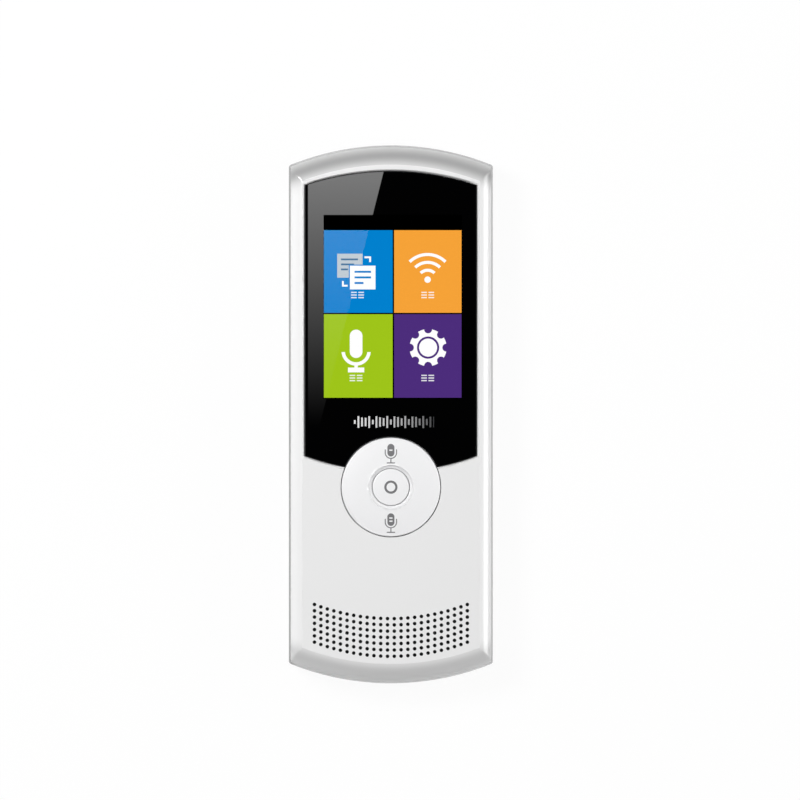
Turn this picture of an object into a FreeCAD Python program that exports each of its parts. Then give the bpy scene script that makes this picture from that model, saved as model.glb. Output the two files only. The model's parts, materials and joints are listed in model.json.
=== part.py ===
import FreeCAD, Part
import math
import os
import Sketcher

# A handheld translator lying on its back, in millimetres. X is across, Y is towards the top end and
# Z is up out of the screen. The origin is the middle of the back, on the surface it lies on.

V = FreeCAD.Vector
doc = FreeCAD.newDocument("translator")
sheet = doc.addObject("Spreadsheet::Sheet", "sizes")


class Size:
    """A length of the sheet, or one worked out from several: its value and its cell formula."""

    def __init__(self, value, formula):
        self.value = float(value)
        self.formula = formula

    def __float__(self):
        return self.value

    def joined(self, sign, other, value, swapped=False):
        text = other.formula if isinstance(other, Size) else repr(float(other))
        left, right = (text, self.formula) if swapped else (self.formula, text)
        return Size(value, "(%s %s %s)" % (left, sign, right))

    def __neg__(self):
        return Size(-self.value, "(0 - %s)" % self.formula)

    def __add__(self, other):
        return self.joined("+", other, self.value + float(other))

    def __radd__(self, other):
        return self.joined("+", other, float(other) + self.value, True)

    def __sub__(self, other):
        return self.joined("-", other, self.value - float(other))

    def __rsub__(self, other):
        return self.joined("-", other, float(other) - self.value, True)

    def __mul__(self, other):
        return self.joined("*", other, self.value * float(other))

    def __rmul__(self, other):
        return self.joined("*", other, float(other) * self.value, True)

    def __truediv__(self, other):
        return self.joined("/", other, self.value / float(other))


def root(size):
    """Square root of a size."""
    return Size(math.sqrt(float(size)), "sqrt(%s)" % size.formula)


def leg(long_side, short_side):
    """Third side of a right-angled triangle with this longest side."""
    return root(long_side * long_side - short_side * short_side)


rows_used = []


def size(name, value):
    """Writes one driving dimension into the sheet under its own alias."""
    rows_used.append(name)
    row = len(rows_used)
    sheet.set("A%d" % row, name)
    sheet.set("B%d" % row, str(value))
    sheet.setAlias("B%d" % row, name)
    return Size(value, "sizes." + name)


# Housing
body_width = size("body_width", 54.4)
body_length = size("body_length", 143.4)
half_width = body_width / 2
half_length = body_length / 2
body_depth = size("body_depth", 15.0)
side_roll = size("side_roll", 3.6)
side_roll_radius = size("side_roll_radius", 4.6)
end_roll = size("end_roll", 5.3)
end_roll_radius = size("end_roll_radius", 6.2)
back_roll = size("back_roll", 4.0)
back_roll_radius = size("back_roll_radius", 4.5)
corner_round = size("corner_round", 0.9)
side_wall = size("side_wall", 1.6)
front_wall = size("front_wall", 2.2)
back_wall = size("back_wall", 1.8)
seam_height = size("seam_height", 8.2)
seam_chamfer = size("seam_chamfer", 0.2)
lip_height = size("lip_height", 1.0)
lip_wall = size("lip_wall", 0.7)
fit_gap = size("fit_gap", 0.1)
rib_wall = size("rib_wall", 1.0)

# Cover glass and the recess it lies in; places along the device are measured from its nearer end
key_end_distance = size("key_end_distance", 52.3)
key_middle = half_length - key_end_distance
lens_width = size("lens_width", 45.8)
lens_top_margin = size("lens_top_margin", 6.9)
lens_top = half_length - lens_top_margin
lens_top_radius = size("lens_top_radius", 72.8)
lens_key_distance = size("lens_key_distance", 4.16)
lens_bottom = key_middle - lens_key_distance
lens_bottom_radius = size("lens_bottom_radius", 65.3)
lens_thickness = size("lens_thickness", 1.1)
lens_sink = size("lens_sink", 0.1)
lens_edge = size("lens_edge", 0.15)
recess_chamfer = size("recess_chamfer", 0.45)
glue_thickness = size("glue_thickness", 0.2)

# Screen stack
screen_shift = size("screen_shift", 0.5)
screen_top_margin = size("screen_top_margin", 18.62)
screen_key_distance = size("screen_key_distance", 23.52)
screen_width = size("screen_width", 36.72)
screen_length = half_length - screen_top_margin + key_middle - screen_key_distance
screen_middle = half_length - screen_top_margin - screen_length / 2
window_margin = size("window_margin", 1.4)
touch_thickness = size("touch_thickness", 0.7)
touch_tail_width = size("touch_tail_width", 8.0)
tail_thickness = size("tail_thickness", 0.15)
gasket_thickness = size("gasket_thickness", 0.3)
module_width = size("module_width", 42.7)
module_ends = size("module_ends", 11.24)
module_length = screen_length + module_ends
module_thickness = size("module_thickness", 2.4)
module_top_margin = size("module_top_margin", 2.9)
frame_wall = size("frame_wall", 0.4)
frame_floor = size("frame_floor", 0.3)
backlight_thickness = size("backlight_thickness", 1.0)
pad_thickness = size("pad_thickness", 0.5)
screen_tail_width = size("screen_tail_width", 18.0)

# Keys
ring_radius = size("ring_radius", 13.17)
ring_gap = size("ring_gap", 0.23)
ring_proud = size("ring_proud", 0.2)
ring_crown = size("ring_crown", 0.7)
ring_skin = size("ring_skin", 1.4)
ring_edge_round = size("ring_edge_round", 0.3)
moat_radius = size("moat_radius", 5.92)
moat_depth = size("moat_depth", 0.9)
centre_radius = size("centre_radius", 4.9)
centre_gap = size("centre_gap", 0.15)
centre_crown = size("centre_crown", 0.25)
skirt_wall = size("skirt_wall", 1.1)
flange_width = size("flange_width", 1.1)
flange_thickness = size("flange_thickness", 1.05)
key_lift_room = size("key_lift_room", 0.45)
pivot_drop = size("pivot_drop", 1.2)
pivot_radius = size("pivot_radius", 0.7)
pivot_gap = size("pivot_gap", 0.05)
pivot_reach = size("pivot_reach", 2.2)
carrier_wall = size("carrier_wall", 1.4)
nub_radius = size("nub_radius", 1.5)
nub_spread = size("nub_spread", 10.0)
nub_gap = size("nub_gap", 0.02)
dome_radius = size("dome_radius", 2.5)
film_width = size("film_width", 8.0)
film_length = size("film_length", 27.5)
dome_height = size("dome_height", 0.45)
dome_thickness = size("dome_thickness", 0.1)

# Speaker grille: straight columns of holes, each row on the same arc
hole_radius = size("hole_radius", 0.51)
grille_radius = size("grille_radius", 56.9)
grille_top_distance = size("grille_top_distance", 17.26)
grille_top = half_length - grille_top_distance
grille_row_pitch = size("grille_row_pitch", 1.674)
grille_column_angle = size("grille_column_angle", 1.824)
grille_columns = 24
grille_rows = 7
hole_sides = 8
mesh_thickness = size("mesh_thickness", 0.2)
mesh_margin = size("mesh_margin", 1.2)

# Screws and the posts they turn into
post_x = size("post_x", 20.5)
post_top_distance = size("post_top_distance", 11.2)
post_top = half_length - post_top_distance
post_bottom_distance = size("post_bottom_distance", 27.2)
post_bottom = half_length - post_bottom_distance
post_radius = size("post_radius", 2.3)
screw_radius = size("screw_radius", 0.95)
screw_head_radius = size("screw_head_radius", 1.75)
screw_slot_length = size("screw_slot_length", 1.93)
screw_head = size("screw_head", 1.2)
screw_sink = size("screw_sink", 0.9)
thread_room = size("thread_room", 0.05)
board_post_radius = size("board_post_radius", 1.7)
board_post_x = size("board_post_x", 20.6)
board_post_key_distance = size("board_post_key_distance", 11.8)
board_post_upper = key_middle - board_post_key_distance
board_post_lower_distance = size("board_post_lower_distance", 35.2)
board_post_lower = half_length - board_post_lower_distance
board_post_end_distance = size("board_post_end_distance", 10.7)
board_post_end = half_length - board_post_end_distance
board_screw_radius = size("board_screw_radius", 0.7)
board_screw_head_radius = size("board_screw_head_radius", 1.4)
board_screw_head = size("board_screw_head", 0.7)

# Main board and what is soldered under it
board_thickness = size("board_thickness", 1.0)
board_width = size("board_width", 48.8)
board_top_distance = size("board_top_distance", 14.4)
board_top = half_length - board_top_distance
board_bottom_distance = size("board_bottom_distance", 30.2)
board_bottom = half_length - board_bottom_distance
tongue_width = size("tongue_width", 33.6)
tongue_top_distance = size("tongue_top_distance", 6.7)
tongue_top = half_length - tongue_top_distance
board_corner = size("board_corner", 1.0)
can_side = size("can_side", 21.0)
can_height = size("can_height", 1.5)
can_wall = size("can_wall", 0.2)
can_x = size("can_x", 3.0)
can_top_distance = size("can_top_distance", 41.7)
can_y = half_length - can_top_distance
processor_side = size("processor_side", 9.0)
processor_height = size("processor_height", 0.9)
memory_width = size("memory_width", 6.0)
memory_length = size("memory_length", 8.0)
memory_height = size("memory_height", 0.8)
power_chip_side = size("power_chip_side", 5.0)
crystal_width = size("crystal_width", 3.2)
crystal_length = size("crystal_length", 2.5)
antenna_length = size("antenna_length", 7.0)
antenna_width = size("antenna_width", 2.0)
antenna_height = size("antenna_height", 1.2)
passive_length = size("passive_length", 1.6)
passive_width = size("passive_width", 0.8)
passive_pitch = size("passive_pitch", 2.4)

# Battery
battery_width = size("battery_width", 38.0)
battery_board_width = size("battery_board_width", 26.6)
battery_top_margin = size("battery_top_margin", 22.7)
battery_key_distance = size("battery_key_distance", 12.4)
battery_length = half_length - battery_top_margin + key_middle - battery_key_distance
battery_middle = half_length - battery_top_margin - battery_length / 2
battery_thickness = size("battery_thickness", 4.6)
battery_edge = size("battery_edge", 1.2)
battery_board_length = size("battery_board_length", 3.0)
battery_fence = size("battery_fence", 1.9)
lead_radius = size("lead_radius", 0.4)
lead_bend = size("lead_bend", 0.64)
lead_spread = size("lead_spread", 1.2)
socket_width = size("socket_width", 6.0)
socket_length = size("socket_length", 3.6)
socket_height = size("socket_height", 1.0)

# Charging socket, its board and the flat cable
port_board_width = size("port_board_width", 21.0)
port_board_end_gap = size("port_board_end_gap", 3.9)
port_board_end = half_length - port_board_end_gap
port_board_length = size("port_board_length", 15.2)
port_board_start = port_board_end - port_board_length
port_board_thickness = size("port_board_thickness", 1.0)
port_board_height = size("port_board_height", 3.6)
port_post_x = size("port_post_x", 8.2)
port_post_distance = size("port_post_distance", 15.7)
port_post_y = half_length - port_post_distance
usb_width = size("usb_width", 7.5)
usb_height = size("usb_height", 2.6)
usb_length = size("usb_length", 5.3)
usb_wall = size("usb_wall", 0.3)
usb_slope = size("usb_slope", 0.9)
usb_inset = size("usb_inset", 0.8)
usb_room = size("usb_room", 0.3)
tongue_height = size("tongue_height", 0.6)
link_width = size("link_width", 5.0)
link_x = size("link_x", 1.0)

# Speaker
speaker_width = size("speaker_width", 30.0)
speaker_length = size("speaker_length", 15.0)
speaker_distance = size("speaker_distance", 14.9)
speaker_middle = half_length - speaker_distance
speaker_corner = size("speaker_corner", 4.0)
speaker_rim = size("speaker_rim", 1.6)
speaker_depth = size("speaker_depth", 3.4)
speaker_floor = size("speaker_floor", 0.8)
speaker_gasket_thickness = size("speaker_gasket_thickness", 0.5)
cone_thickness = size("cone_thickness", 0.25)
cone_dome = size("cone_dome", 0.6)
cone_dome_radius = size("cone_dome_radius", 4.2)
magnet_radius = size("magnet_radius", 5.0)
magnet_height = size("magnet_height", 2.6)
pillar_radius = size("pillar_radius", 1.2)

# Microphones
mic_radius = size("mic_radius", 2.0)
mic_length = size("mic_length", 1.5)
mic_height = size("mic_height", 5.6)
mic_x = size("mic_x", 13.6)
mic_hole_radius = size("mic_hole_radius", 0.6)
boot_wall = size("boot_wall", 0.4)
boot_nose = size("boot_nose", 0.5)

# Levels that several pieces share
ceiling = body_depth - front_wall
lens_top_level = body_depth - lens_sink
lens_under = lens_top_level - lens_thickness
ledge = lens_under - glue_thickness
touch_under = lens_under - touch_thickness
module_face = ceiling - gasket_thickness
module_under = module_face - module_thickness
board_face = module_under - pad_thickness
board_under = board_face - board_thickness
module_end = screen_middle + screen_length / 2 + module_top_margin
module_middle = module_end - module_length / 2
pivot_level = ceiling - pivot_drop
flange_face = ceiling - key_lift_room
flange_under = flange_face - flange_thickness
flange_radius = ring_radius + flange_width
dome_top = board_face + dome_height
cell_under = back_wall + glue_thickness
port_face = port_board_height + port_board_thickness
speaker_face = ceiling - mesh_thickness - speaker_gasket_thickness
speaker_under = speaker_face - speaker_depth
case_posts = [(x, y) for x in (-post_x, post_x) for y in (post_top, -post_bottom)]
board_posts = [(x, y) for x in (-board_post_x, board_post_x) for y in (-board_post_upper, -board_post_lower)]
board_posts.append((0, board_post_end))

parts = []


def bind(thing, name, value):
    """Gives a property its number, and its formula when the number comes from the sheet."""
    if isinstance(value, Size):
        thing.setExpression(name, value.formula)
    elif "." not in name:
        setattr(thing, name, value)


def piece(label, x=0, y=0, z=0, kept=True):
    """A new body whose own origin lies at x, y, z of the device."""
    body = doc.addObject("PartDesign::Body", label)
    body.Label = label
    body.Placement = FreeCAD.Placement(V(float(x), float(y), float(z)), FreeCAD.Rotation())
    for axis, value in (("x", x), ("y", y), ("z", z)):
        bind(body, "Placement.Base." + axis, value)
    if kept:
        parts.append(body)
    return body


def datum(body, role):
    """One of the body's own origin planes or axes."""
    for feature in body.Origin.OriginFeatures:
        if feature.Role == role:
            return feature


def sketch(body, role="XY_Plane", lift=0):
    """An empty sketch on an origin plane of the body, moved along its normal by lift."""
    drawing = body.newObject("Sketcher::SketchObject", body.Label + "_sketch")
    drawing.AttachmentSupport = (datum(body, role), [""])
    drawing.MapMode = "FlatFace"
    drawing.AttachmentOffset = FreeCAD.Placement(V(0, 0, float(lift)), FreeCAD.Rotation())
    bind(drawing, "AttachmentOffset.Base.z", lift)
    return drawing


def hold(drawing, kind, line, end, value):
    """Fixes a radius, or one coordinate of a line's end, to a number or formula."""
    if kind == "Radius":
        rule = Sketcher.Constraint("Radius", line, float(value))
    else:
        rule = Sketcher.Constraint(kind, -1, 1, line, end, float(value))
    number = drawing.addConstraint(rule)
    if isinstance(value, Size):
        drawing.setExpression("Constraints[%d]" % number, value.formula)


def outline(drawing, corners):
    """Closes a line round the corners. A corner (x, y) starts a straight run, and a corner
    (x, y, radius, turn) starts an arc to the next corner, turning left for 1 and right for -1.
    Without a radius the arc is a half circle over a level run."""
    first = drawing.GeometryCount
    ends = []
    for i, corner in enumerate(corners):
        following = corners[(i + 1) % len(corners)]
        start = V(float(corner[0]), float(corner[1]), 0)
        stop = V(float(following[0]), float(following[1]), 0)
        if len(corner) == 2:
            drawing.addGeometry(Part.LineSegment(start, stop))
            ends.append((1, 2))
            continue
        half = (stop - start) * 0.5
        radius = half.Length if corner[2] is None else float(corner[2])
        turn = corner[3]
        rise = math.sqrt(max(radius ** 2 - half.Length ** 2, 0.0))
        centre = start + half + V(-half.y, half.x, 0).normalize() * rise * turn
        angles = [math.atan2(end.y - centre.y, end.x - centre.x) for end in (start, stop)]
        if turn < 0:
            angles.reverse()
        circle = Part.Circle(centre, V(0, 0, 1), radius)
        drawing.addGeometry(Part.ArcOfCircle(circle, angles[0], angles[1]))
        ends.append((1, 2) if turn > 0 else (2, 1))
    for i in range(len(corners)):
        before = (i - 1) % len(corners)
        drawing.addConstraint(
            Sketcher.Constraint("Coincident", first + before, ends[before][1], first + i, ends[i][0]))
    for i, corner in enumerate(corners):
        hold(drawing, "DistanceX", first + i, ends[i][0], corner[0])
        hold(drawing, "DistanceY", first + i, ends[i][0], corner[1])
        if len(corner) > 2 and corner[2] is None:
            hold(drawing, "DistanceY", first + i, 3, corner[1])
        elif len(corner) > 2:
            hold(drawing, "Radius", first + i, 0, corner[2])


def rectangle(drawing, width, length, corner=None, x=0, y=0):
    """Rectangle about x, y with square or round corners."""
    left, right = x - width / 2, x + width / 2
    low, high = y - length / 2, y + length / 2
    if corner is None:
        outline(drawing, [(left, low), (right, low), (right, high), (left, high)])
        return
    outline(drawing, [
        (left + corner, low), (right - corner, low, corner, 1),
        (right, low + corner), (right, high - corner, corner, 1),
        (right - corner, high), (left + corner, high, corner, 1),
        (left, high - corner), (left, low + corner, corner, 1)])


def circle(drawing, radius, x=0, y=0):
    """Circle about x, y."""
    number = drawing.addGeometry(Part.Circle(V(float(x), float(y), 0), V(0, 0, 1), float(radius)))
    hold(drawing, "Radius", number, 0, radius)
    hold(drawing, "DistanceX", number, 3, x)
    hold(drawing, "DistanceY", number, 3, y)


def bar_outline(drawing, inset):
    """The device's plan: a circle as wide as the body is long, cut by two straight sides."""
    x = half_width - inset
    radius = half_length - inset
    y = leg(radius, x)
    outline(drawing, [(x, -y), (x, y, radius, 1), (-x, y), (-x, -y, radius, 1)])


def pad(body, drawing, length, both_ways=False, downwards=False):
    """Adds the sketch's area, drawn out by length."""
    feature = body.newObject("PartDesign::Pad", body.Label + "_pad")
    feature.Profile = drawing
    feature.SideType = "Symmetric" if both_ways else "One side"
    feature.Reversed = downwards
    bind(feature, "Length", length)
    return feature


def pocket(body, drawing, depth, both_ways=False, upwards=False):
    """Cuts the sketch's area away, down from the sketch unless upwards."""
    feature = body.newObject("PartDesign::Pocket", body.Label + "_pocket")
    feature.Profile = drawing
    feature.SideType = "Symmetric" if both_ways else "One side"
    feature.Reversed = upwards
    bind(feature, "Length", depth)
    return feature


def turned(body, drawing, cut=False):
    """Revolves the sketch round the body's Z axis, added or cut."""
    kind = "PartDesign::Groove" if cut else "PartDesign::Revolution"
    feature = body.newObject(kind, body.Label + "_turn")
    feature.Profile = drawing
    feature.ReferenceAxis = (datum(body, "Z_Axis"), [""])
    feature.Angle = 360
    return feature


def join(body, others, kind):
    """Fuses other bodies into this one, or cuts them out of it."""
    feature = body.newObject("PartDesign::Boolean", body.Label + "_join")
    feature.Type = kind
    feature.setObjects(others)
    body.Tip = feature
    return feature


def dress(body, kind, edge_size, wanted):
    """Fillets or chamfers the edges of the body's last feature that wanted picks."""
    doc.recompute()
    base = body.Tip
    names = ["Edge%d" % (i + 1) for i, edge in enumerate(base.Shape.Edges) if wanted(edge)]
    if not names:
        raise RuntimeError("no edge to dress on " + body.Label)
    feature = body.newObject("PartDesign::" + kind, body.Label + "_" + kind.lower())
    feature.Base = (base, names)
    bind(feature, "Radius" if kind == "Fillet" else "Size", edge_size)
    return feature


def at_level(edge, level):
    """Whether the whole edge lies at one height."""
    middle = edge.valueAt((edge.FirstParameter + edge.LastParameter) / 2)
    heights = [vertex.Z for vertex in edge.Vertexes] + [middle.z]
    return all(abs(height - float(level)) < 1e-3 for height in heights)


def upright(edge):
    """Whether the edge is a straight one along Z."""
    box = edge.BoundBox
    return box.ZLength > 1e-3 and box.XLength < 1e-4 and box.YLength < 1e-4


def plate(label, x, y, z, width, length, thickness, corner=None):
    """Flat piece about x, y with its underside at z."""
    body = piece(label, x, y, z)
    drawing = sketch(body)
    rectangle(drawing, width, length, corner)
    pad(body, drawing, thickness)
    return body


def rolled_form(label, face, roll, radius, end_width, end_radius, upward, inset, level, open_level):
    """The housing's outer or inner form on one side of the seam. Its flat face is at level, its
    open side at open_level, and inset is how far it lies inside the outer surface. The sides roll
    into the face on one radius and the ends on another. Upward is 1 at the front, -1 at the back."""
    body = piece(label, kept=False)

    def rolled(half, width, rounding):
        axis = half - rounding
        depth = leg(rounding, half - width - axis)
        height = face - depth if upward > 0 else face + depth
        inner = rounding - inset
        return half - inset, axis + leg(inner, level - height), height, inner

    side, flat, height, rounding = rolled(half_width, roll, radius)
    section = sketch(body, "XZ_Plane")
    outline(section, [
        (-side, open_level), (side, open_level), (side, height, rounding, upward),
        (flat, level), (-flat, level, rounding, upward), (-side, height)])
    pad(body, section, body_length + 2, both_ways=True)
    side, flat, height, rounding = rolled(half_length, end_width, end_radius)
    outside = half_length + half_width
    rim = sketch(body, "XZ_Plane")
    outline(rim, [
        (side, open_level - upward), (outside, open_level - upward),
        (outside, level + upward), (flat, level + upward),
        (flat, level, rounding, -upward), (side, height)])
    turned(body, rim, cut=True)
    return body


def is_corner_edge(edge, side_width, end_width):
    """Whether an edge of a rolled form, with rolls of these widths, runs up one of its corners."""
    middle = edge.BoundBox.Center
    near_side = abs(middle.x) > float(half_width - side_width) - 1
    near_end = abs(middle.y) > float(leg(half_length, half_width) - end_width) - 1
    return near_side and near_end and edge.BoundBox.ZLength > 0.05


def lens_outline(drawing, gap):
    """The cover glass's edge, or the recess round it: a bowed top and bottom and straight sides."""
    x = lens_width / 2 + gap
    top_radius = lens_top_radius + gap
    bottom_radius = lens_bottom_radius + gap
    top_y = lens_top - lens_top_radius + leg(top_radius, x)
    bottom_y = lens_bottom_radius - lens_bottom - leg(bottom_radius, x)
    outline(drawing, [(x, bottom_y), (x, top_y, top_radius, 1), (-x, top_y), (-x, bottom_y, bottom_radius, 1)])


def grille_holes():
    """All the sound holes as one body: a prism patterned round the arc and then down in rows."""
    body = piece("grille_holes", 0, grille_radius - grille_top, ceiling - 1, kept=False)
    prism = body.newObject("PartDesign::AdditivePrism", "sound_hole")
    prism.Polygon = hole_sides
    bind(prism, "Circumradius", hole_radius)
    bind(prism, "Height", front_wall + 2)
    prism.AttachmentSupport = (datum(body, "XY_Plane"), [""])
    prism.MapMode = "FlatFace"
    first = (grille_columns - 1) / 2
    turn = "(%s * %s * 1 deg)" % (grille_column_angle.formula, repr(first))
    prism.setExpression("AttachmentOffset.Base.x", "-1 * %s * sin%s" % (grille_radius.formula, turn))
    prism.setExpression("AttachmentOffset.Base.y", "-1 * %s * cos%s" % (grille_radius.formula, turn))
    columns = body.newObject("PartDesign::PolarPattern", "grille_columns")
    columns.Axis = (datum(body, "Z_Axis"), [""])
    columns.Mode = "Spacing"
    bind(columns, "Offset", grille_column_angle)
    columns.Occurrences = grille_columns
    rows = body.newObject("PartDesign::LinearPattern", "grille_rows")
    rows.Direction = (datum(body, "Y_Axis"), [""])
    rows.Reversed = True
    rows.Mode = "Spacing"
    bind(rows, "Offset", grille_row_pitch)
    rows.Occurrences = grille_rows
    field = body.newObject("PartDesign::MultiTransform", "grille_field")
    field.Originals = [prism]
    field.Transformations = [columns, rows]
    body.Tip = field
    return body


def front_shell():
    """Moulded front: rolled edges, recess for the glass, window, key opening, grille and posts."""
    rolls = (side_roll, side_roll_radius, end_roll, end_roll_radius, 1)
    shell = rolled_form("front_shell", body_depth, *rolls, 0, body_depth, seam_height)
    parts.append(shell)
    dress(shell, "Fillet", corner_round, lambda edge: is_corner_edge(edge, side_roll, end_roll))
    dress(shell, "Chamfer", seam_chamfer, lambda edge: at_level(edge, seam_height))
    hollow = rolled_form("front_hollow", body_depth, *rolls, side_wall, ceiling, seam_height - 1)
    join(shell, [hollow], "Cut")
    rabbet = piece("front_rabbet", 0, 0, seam_height - 1, kept=False)
    drawing = sketch(rabbet)
    bar_outline(drawing, side_wall - lip_wall - fit_gap)
    pad(rabbet, drawing, lip_height + fit_gap + 1)
    join(shell, [rabbet], "Cut")

    recess = sketch(shell, lift=body_depth + 1)
    lens_outline(recess, fit_gap)
    pocket(shell, recess, body_depth + 1 - ledge)
    dress(shell, "Chamfer", recess_chamfer, is_recess_edge)

    window = sketch(shell, lift=ledge + 1)
    rectangle(window, screen_width + window_margin * 2, screen_length + window_margin * 2, x=screen_shift,
              y=screen_middle)
    pocket(shell, window, ledge + 2 - ceiling)
    notch = sketch(shell, lift=ledge + 1)
    notch_end = screen_shift - module_width / 2 - rib_wall
    notch_start = screen_shift - screen_width / 2
    rectangle(notch, notch_start - notch_end, touch_tail_width + fit_gap * 4, x=(notch_start + notch_end) / 2,
              y=screen_middle)
    pocket(shell, notch, ledge + 2 - ceiling)
    opening = sketch(shell, lift=body_depth + 1)
    circle(opening, ring_radius + ring_gap, 0, -key_middle)
    pocket(shell, opening, front_wall + 2)

    posts = sketch(shell, lift=seam_height)
    for x, y in case_posts:
        circle(posts, post_radius, x, y)
    pad(shell, posts, ceiling - seam_height + glue_thickness)
    pilots = sketch(shell, lift=seam_height)
    for x, y in case_posts:
        circle(pilots, screw_radius + thread_room, x, y)
    pocket(shell, pilots, ceiling - seam_height - rib_wall / 2, upwards=True)
    small_posts = sketch(shell, lift=board_face)
    for x, y in board_posts:
        circle(small_posts, board_post_radius, x, y)
    pad(shell, small_posts, ceiling - board_face + glue_thickness)
    small_pilots = sketch(shell, lift=board_face)
    for x, y in board_posts:
        circle(small_pilots, board_screw_radius + thread_room, x, y)
    pocket(shell, small_pilots, ceiling - board_face - rib_wall / 2, upwards=True)

    fence = sketch(shell, lift=module_face - gasket_thickness * 4)
    fence_x = module_width / 2 + fit_gap + rib_wall / 2
    for side in (-1, 1):
        for place in (-1, 1):
            rectangle(fence, rib_wall, module_length / 4, x=screen_shift + fence_x * side,
                      y=module_middle + module_length / 4 * place)
    rectangle(fence, module_width / 2, rib_wall, x=screen_shift, y=module_end + fit_gap + rib_wall / 2)
    pad(shell, fence, ceiling + glue_thickness - module_face + gasket_thickness * 4)
    holes = join(shell, [grille_holes()], "Cut")
    holes.Refine = False
    return shell


def is_recess_edge(edge):
    """Whether an edge is on the mouth of the recess for the glass."""
    middle = edge.valueAt((edge.FirstParameter + edge.LastParameter) / 2)
    inside = abs(middle.x) < float(lens_width / 2 + fit_gap) + 1e-3
    long_side = edge.BoundBox.DiagonalLength > float(lens_width) / 2
    below_top = abs(middle.y) < float(lens_top + fit_gap) + 1e-3
    return at_level(edge, body_depth) and inside and long_side and below_top


def back_shell():
    """Moulded back: rolled edges, lip, screw posts, battery fence, supports and socket opening."""
    rolls = (back_roll, back_roll_radius, back_roll, back_roll_radius, -1)
    shell = rolled_form("back_shell", 0, *rolls, 0, 0, seam_height)
    parts.append(shell)
    dress(shell, "Fillet", corner_round, lambda edge: is_corner_edge(edge, back_roll, back_roll))
    dress(shell, "Chamfer", seam_chamfer, lambda edge: at_level(edge, seam_height))
    hollow = rolled_form("back_hollow", 0, *rolls, side_wall, back_wall, seam_height + 1)
    join(shell, [hollow], "Cut")
    lip = piece("back_lip", 0, 0, seam_height - lip_height, kept=False)
    drawing = sketch(lip)
    bar_outline(drawing, side_wall - lip_wall)
    bar_outline(drawing, side_wall)
    pad(lip, drawing, lip_height * 2)
    join(shell, [lip], "Fuse")

    collar_height = screw_head + screw_sink + rib_wall
    collars = sketch(shell, lift=back_wall / 2)
    for x, y in case_posts:
        circle(collars, screw_head_radius + fit_gap * 2 + rib_wall, x, y)
    pad(shell, collars, collar_height - back_wall / 2)
    posts = sketch(shell, lift=back_wall / 2)
    for x, y in case_posts:
        circle(posts, post_radius, x, y)
    pad(shell, posts, seam_height - back_wall / 2)
    recesses = sketch(shell)
    for x, y in case_posts:
        circle(recesses, screw_head_radius + fit_gap * 2, x, y)
    pocket(shell, recesses, screw_head + screw_sink, upwards=True)
    passages = sketch(shell)
    for x, y in case_posts:
        circle(passages, screw_radius + thread_room * 3, x, y)
    pocket(shell, passages, seam_height + 1, upwards=True)

    fence = sketch(shell, lift=back_wall / 2)
    bay_width = battery_width + fit_gap * 4
    bay_length = battery_length + battery_board_length + fit_gap * 4
    bay_middle = battery_middle + battery_board_length / 2
    rectangle(fence, bay_width + rib_wall * 2, bay_length + rib_wall * 2, y=bay_middle)
    rectangle(fence, bay_width, bay_length, y=bay_middle)
    pad(shell, fence, battery_fence + back_wall / 2)

    port_posts = sketch(shell, lift=back_wall / 2)
    for side in (-1, 1):
        circle(port_posts, board_post_radius, port_post_x * side, -port_post_y)
    rectangle(port_posts, usb_width, rib_wall * 2, y=rib_wall * 2 - port_board_end)
    pad(shell, port_posts, port_board_height - back_wall / 2)
    port_pilots = sketch(shell, lift=port_board_height)
    for side in (-1, 1):
        circle(port_pilots, board_screw_radius + thread_room, port_post_x * side, -port_post_y)
    pocket(shell, port_pilots, port_board_height - back_wall)
    pillars = sketch(shell, lift=back_wall / 2)
    for side in (-1, 1):
        circle(pillars, pillar_radius, (speaker_width / 2 - pillar_radius) * side, -speaker_middle)
    pad(shell, pillars, speaker_under - back_wall / 2)

    socket_level = port_face + usb_height / 2
    mouth = sketch(shell, "XZ_Plane", half_length - side_wall * 2)
    rectangle(mouth, usb_width + usb_room * 2, usb_height + usb_room * 2, corner=usb_room * 2, y=socket_level)
    pocket(shell, mouth, side_wall * 3, upwards=True)
    sound_ways = sketch(shell, "XZ_Plane", half_length - side_wall * 2 - mic_length)
    circle(sound_ways, mic_hole_radius, mic_x, mic_height)
    pocket(shell, sound_ways, side_wall * 3 + mic_length, upwards=True)
    top_way = sketch(shell, "XZ_Plane", side_wall * 2 - half_length)
    circle(top_way, mic_hole_radius, 0, mic_height)
    pocket(shell, top_way, side_wall * 3)

    cradles = sketch(shell, lift=back_wall / 2)
    for x, y in (bottom_boot(), top_boot()):
        rectangle(cradles, mic_radius, mic_length, x=x, y=y)
    pad(shell, cradles, mic_height - mic_radius - boot_wall - back_wall / 2)
    return shell


def boot_reach():
    """Length of a microphone boot's round part."""
    return mic_length + boot_wall * 2


def bottom_boot():
    """Middle of the bottom microphone's boot in plan."""
    x = mic_x
    end = leg(half_length - side_wall, mic_x + mic_radius + boot_wall) - boot_nose
    return x, boot_reach() / 2 - end


def top_boot():
    """Middle of the top microphone's boot in plan."""
    end = half_length - side_wall - boot_nose
    return 0, end - boot_reach() / 2


def cover_lens():
    """Printed cover glass, notched round the ring key, with a narrow ground edge."""
    lens = piece("cover_lens", 0, 0, lens_under)
    drawing = sketch(lens)
    lens_outline(drawing, 0)
    pad(lens, drawing, lens_thickness)
    notch = sketch(lens, lift=lens_thickness + 1)
    circle(notch, ring_radius + ring_gap, 0, -key_middle)
    pocket(lens, notch, lens_thickness + 2)
    dress(lens, "Chamfer", lens_edge, lambda edge: at_level(edge, lens_thickness))


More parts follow.
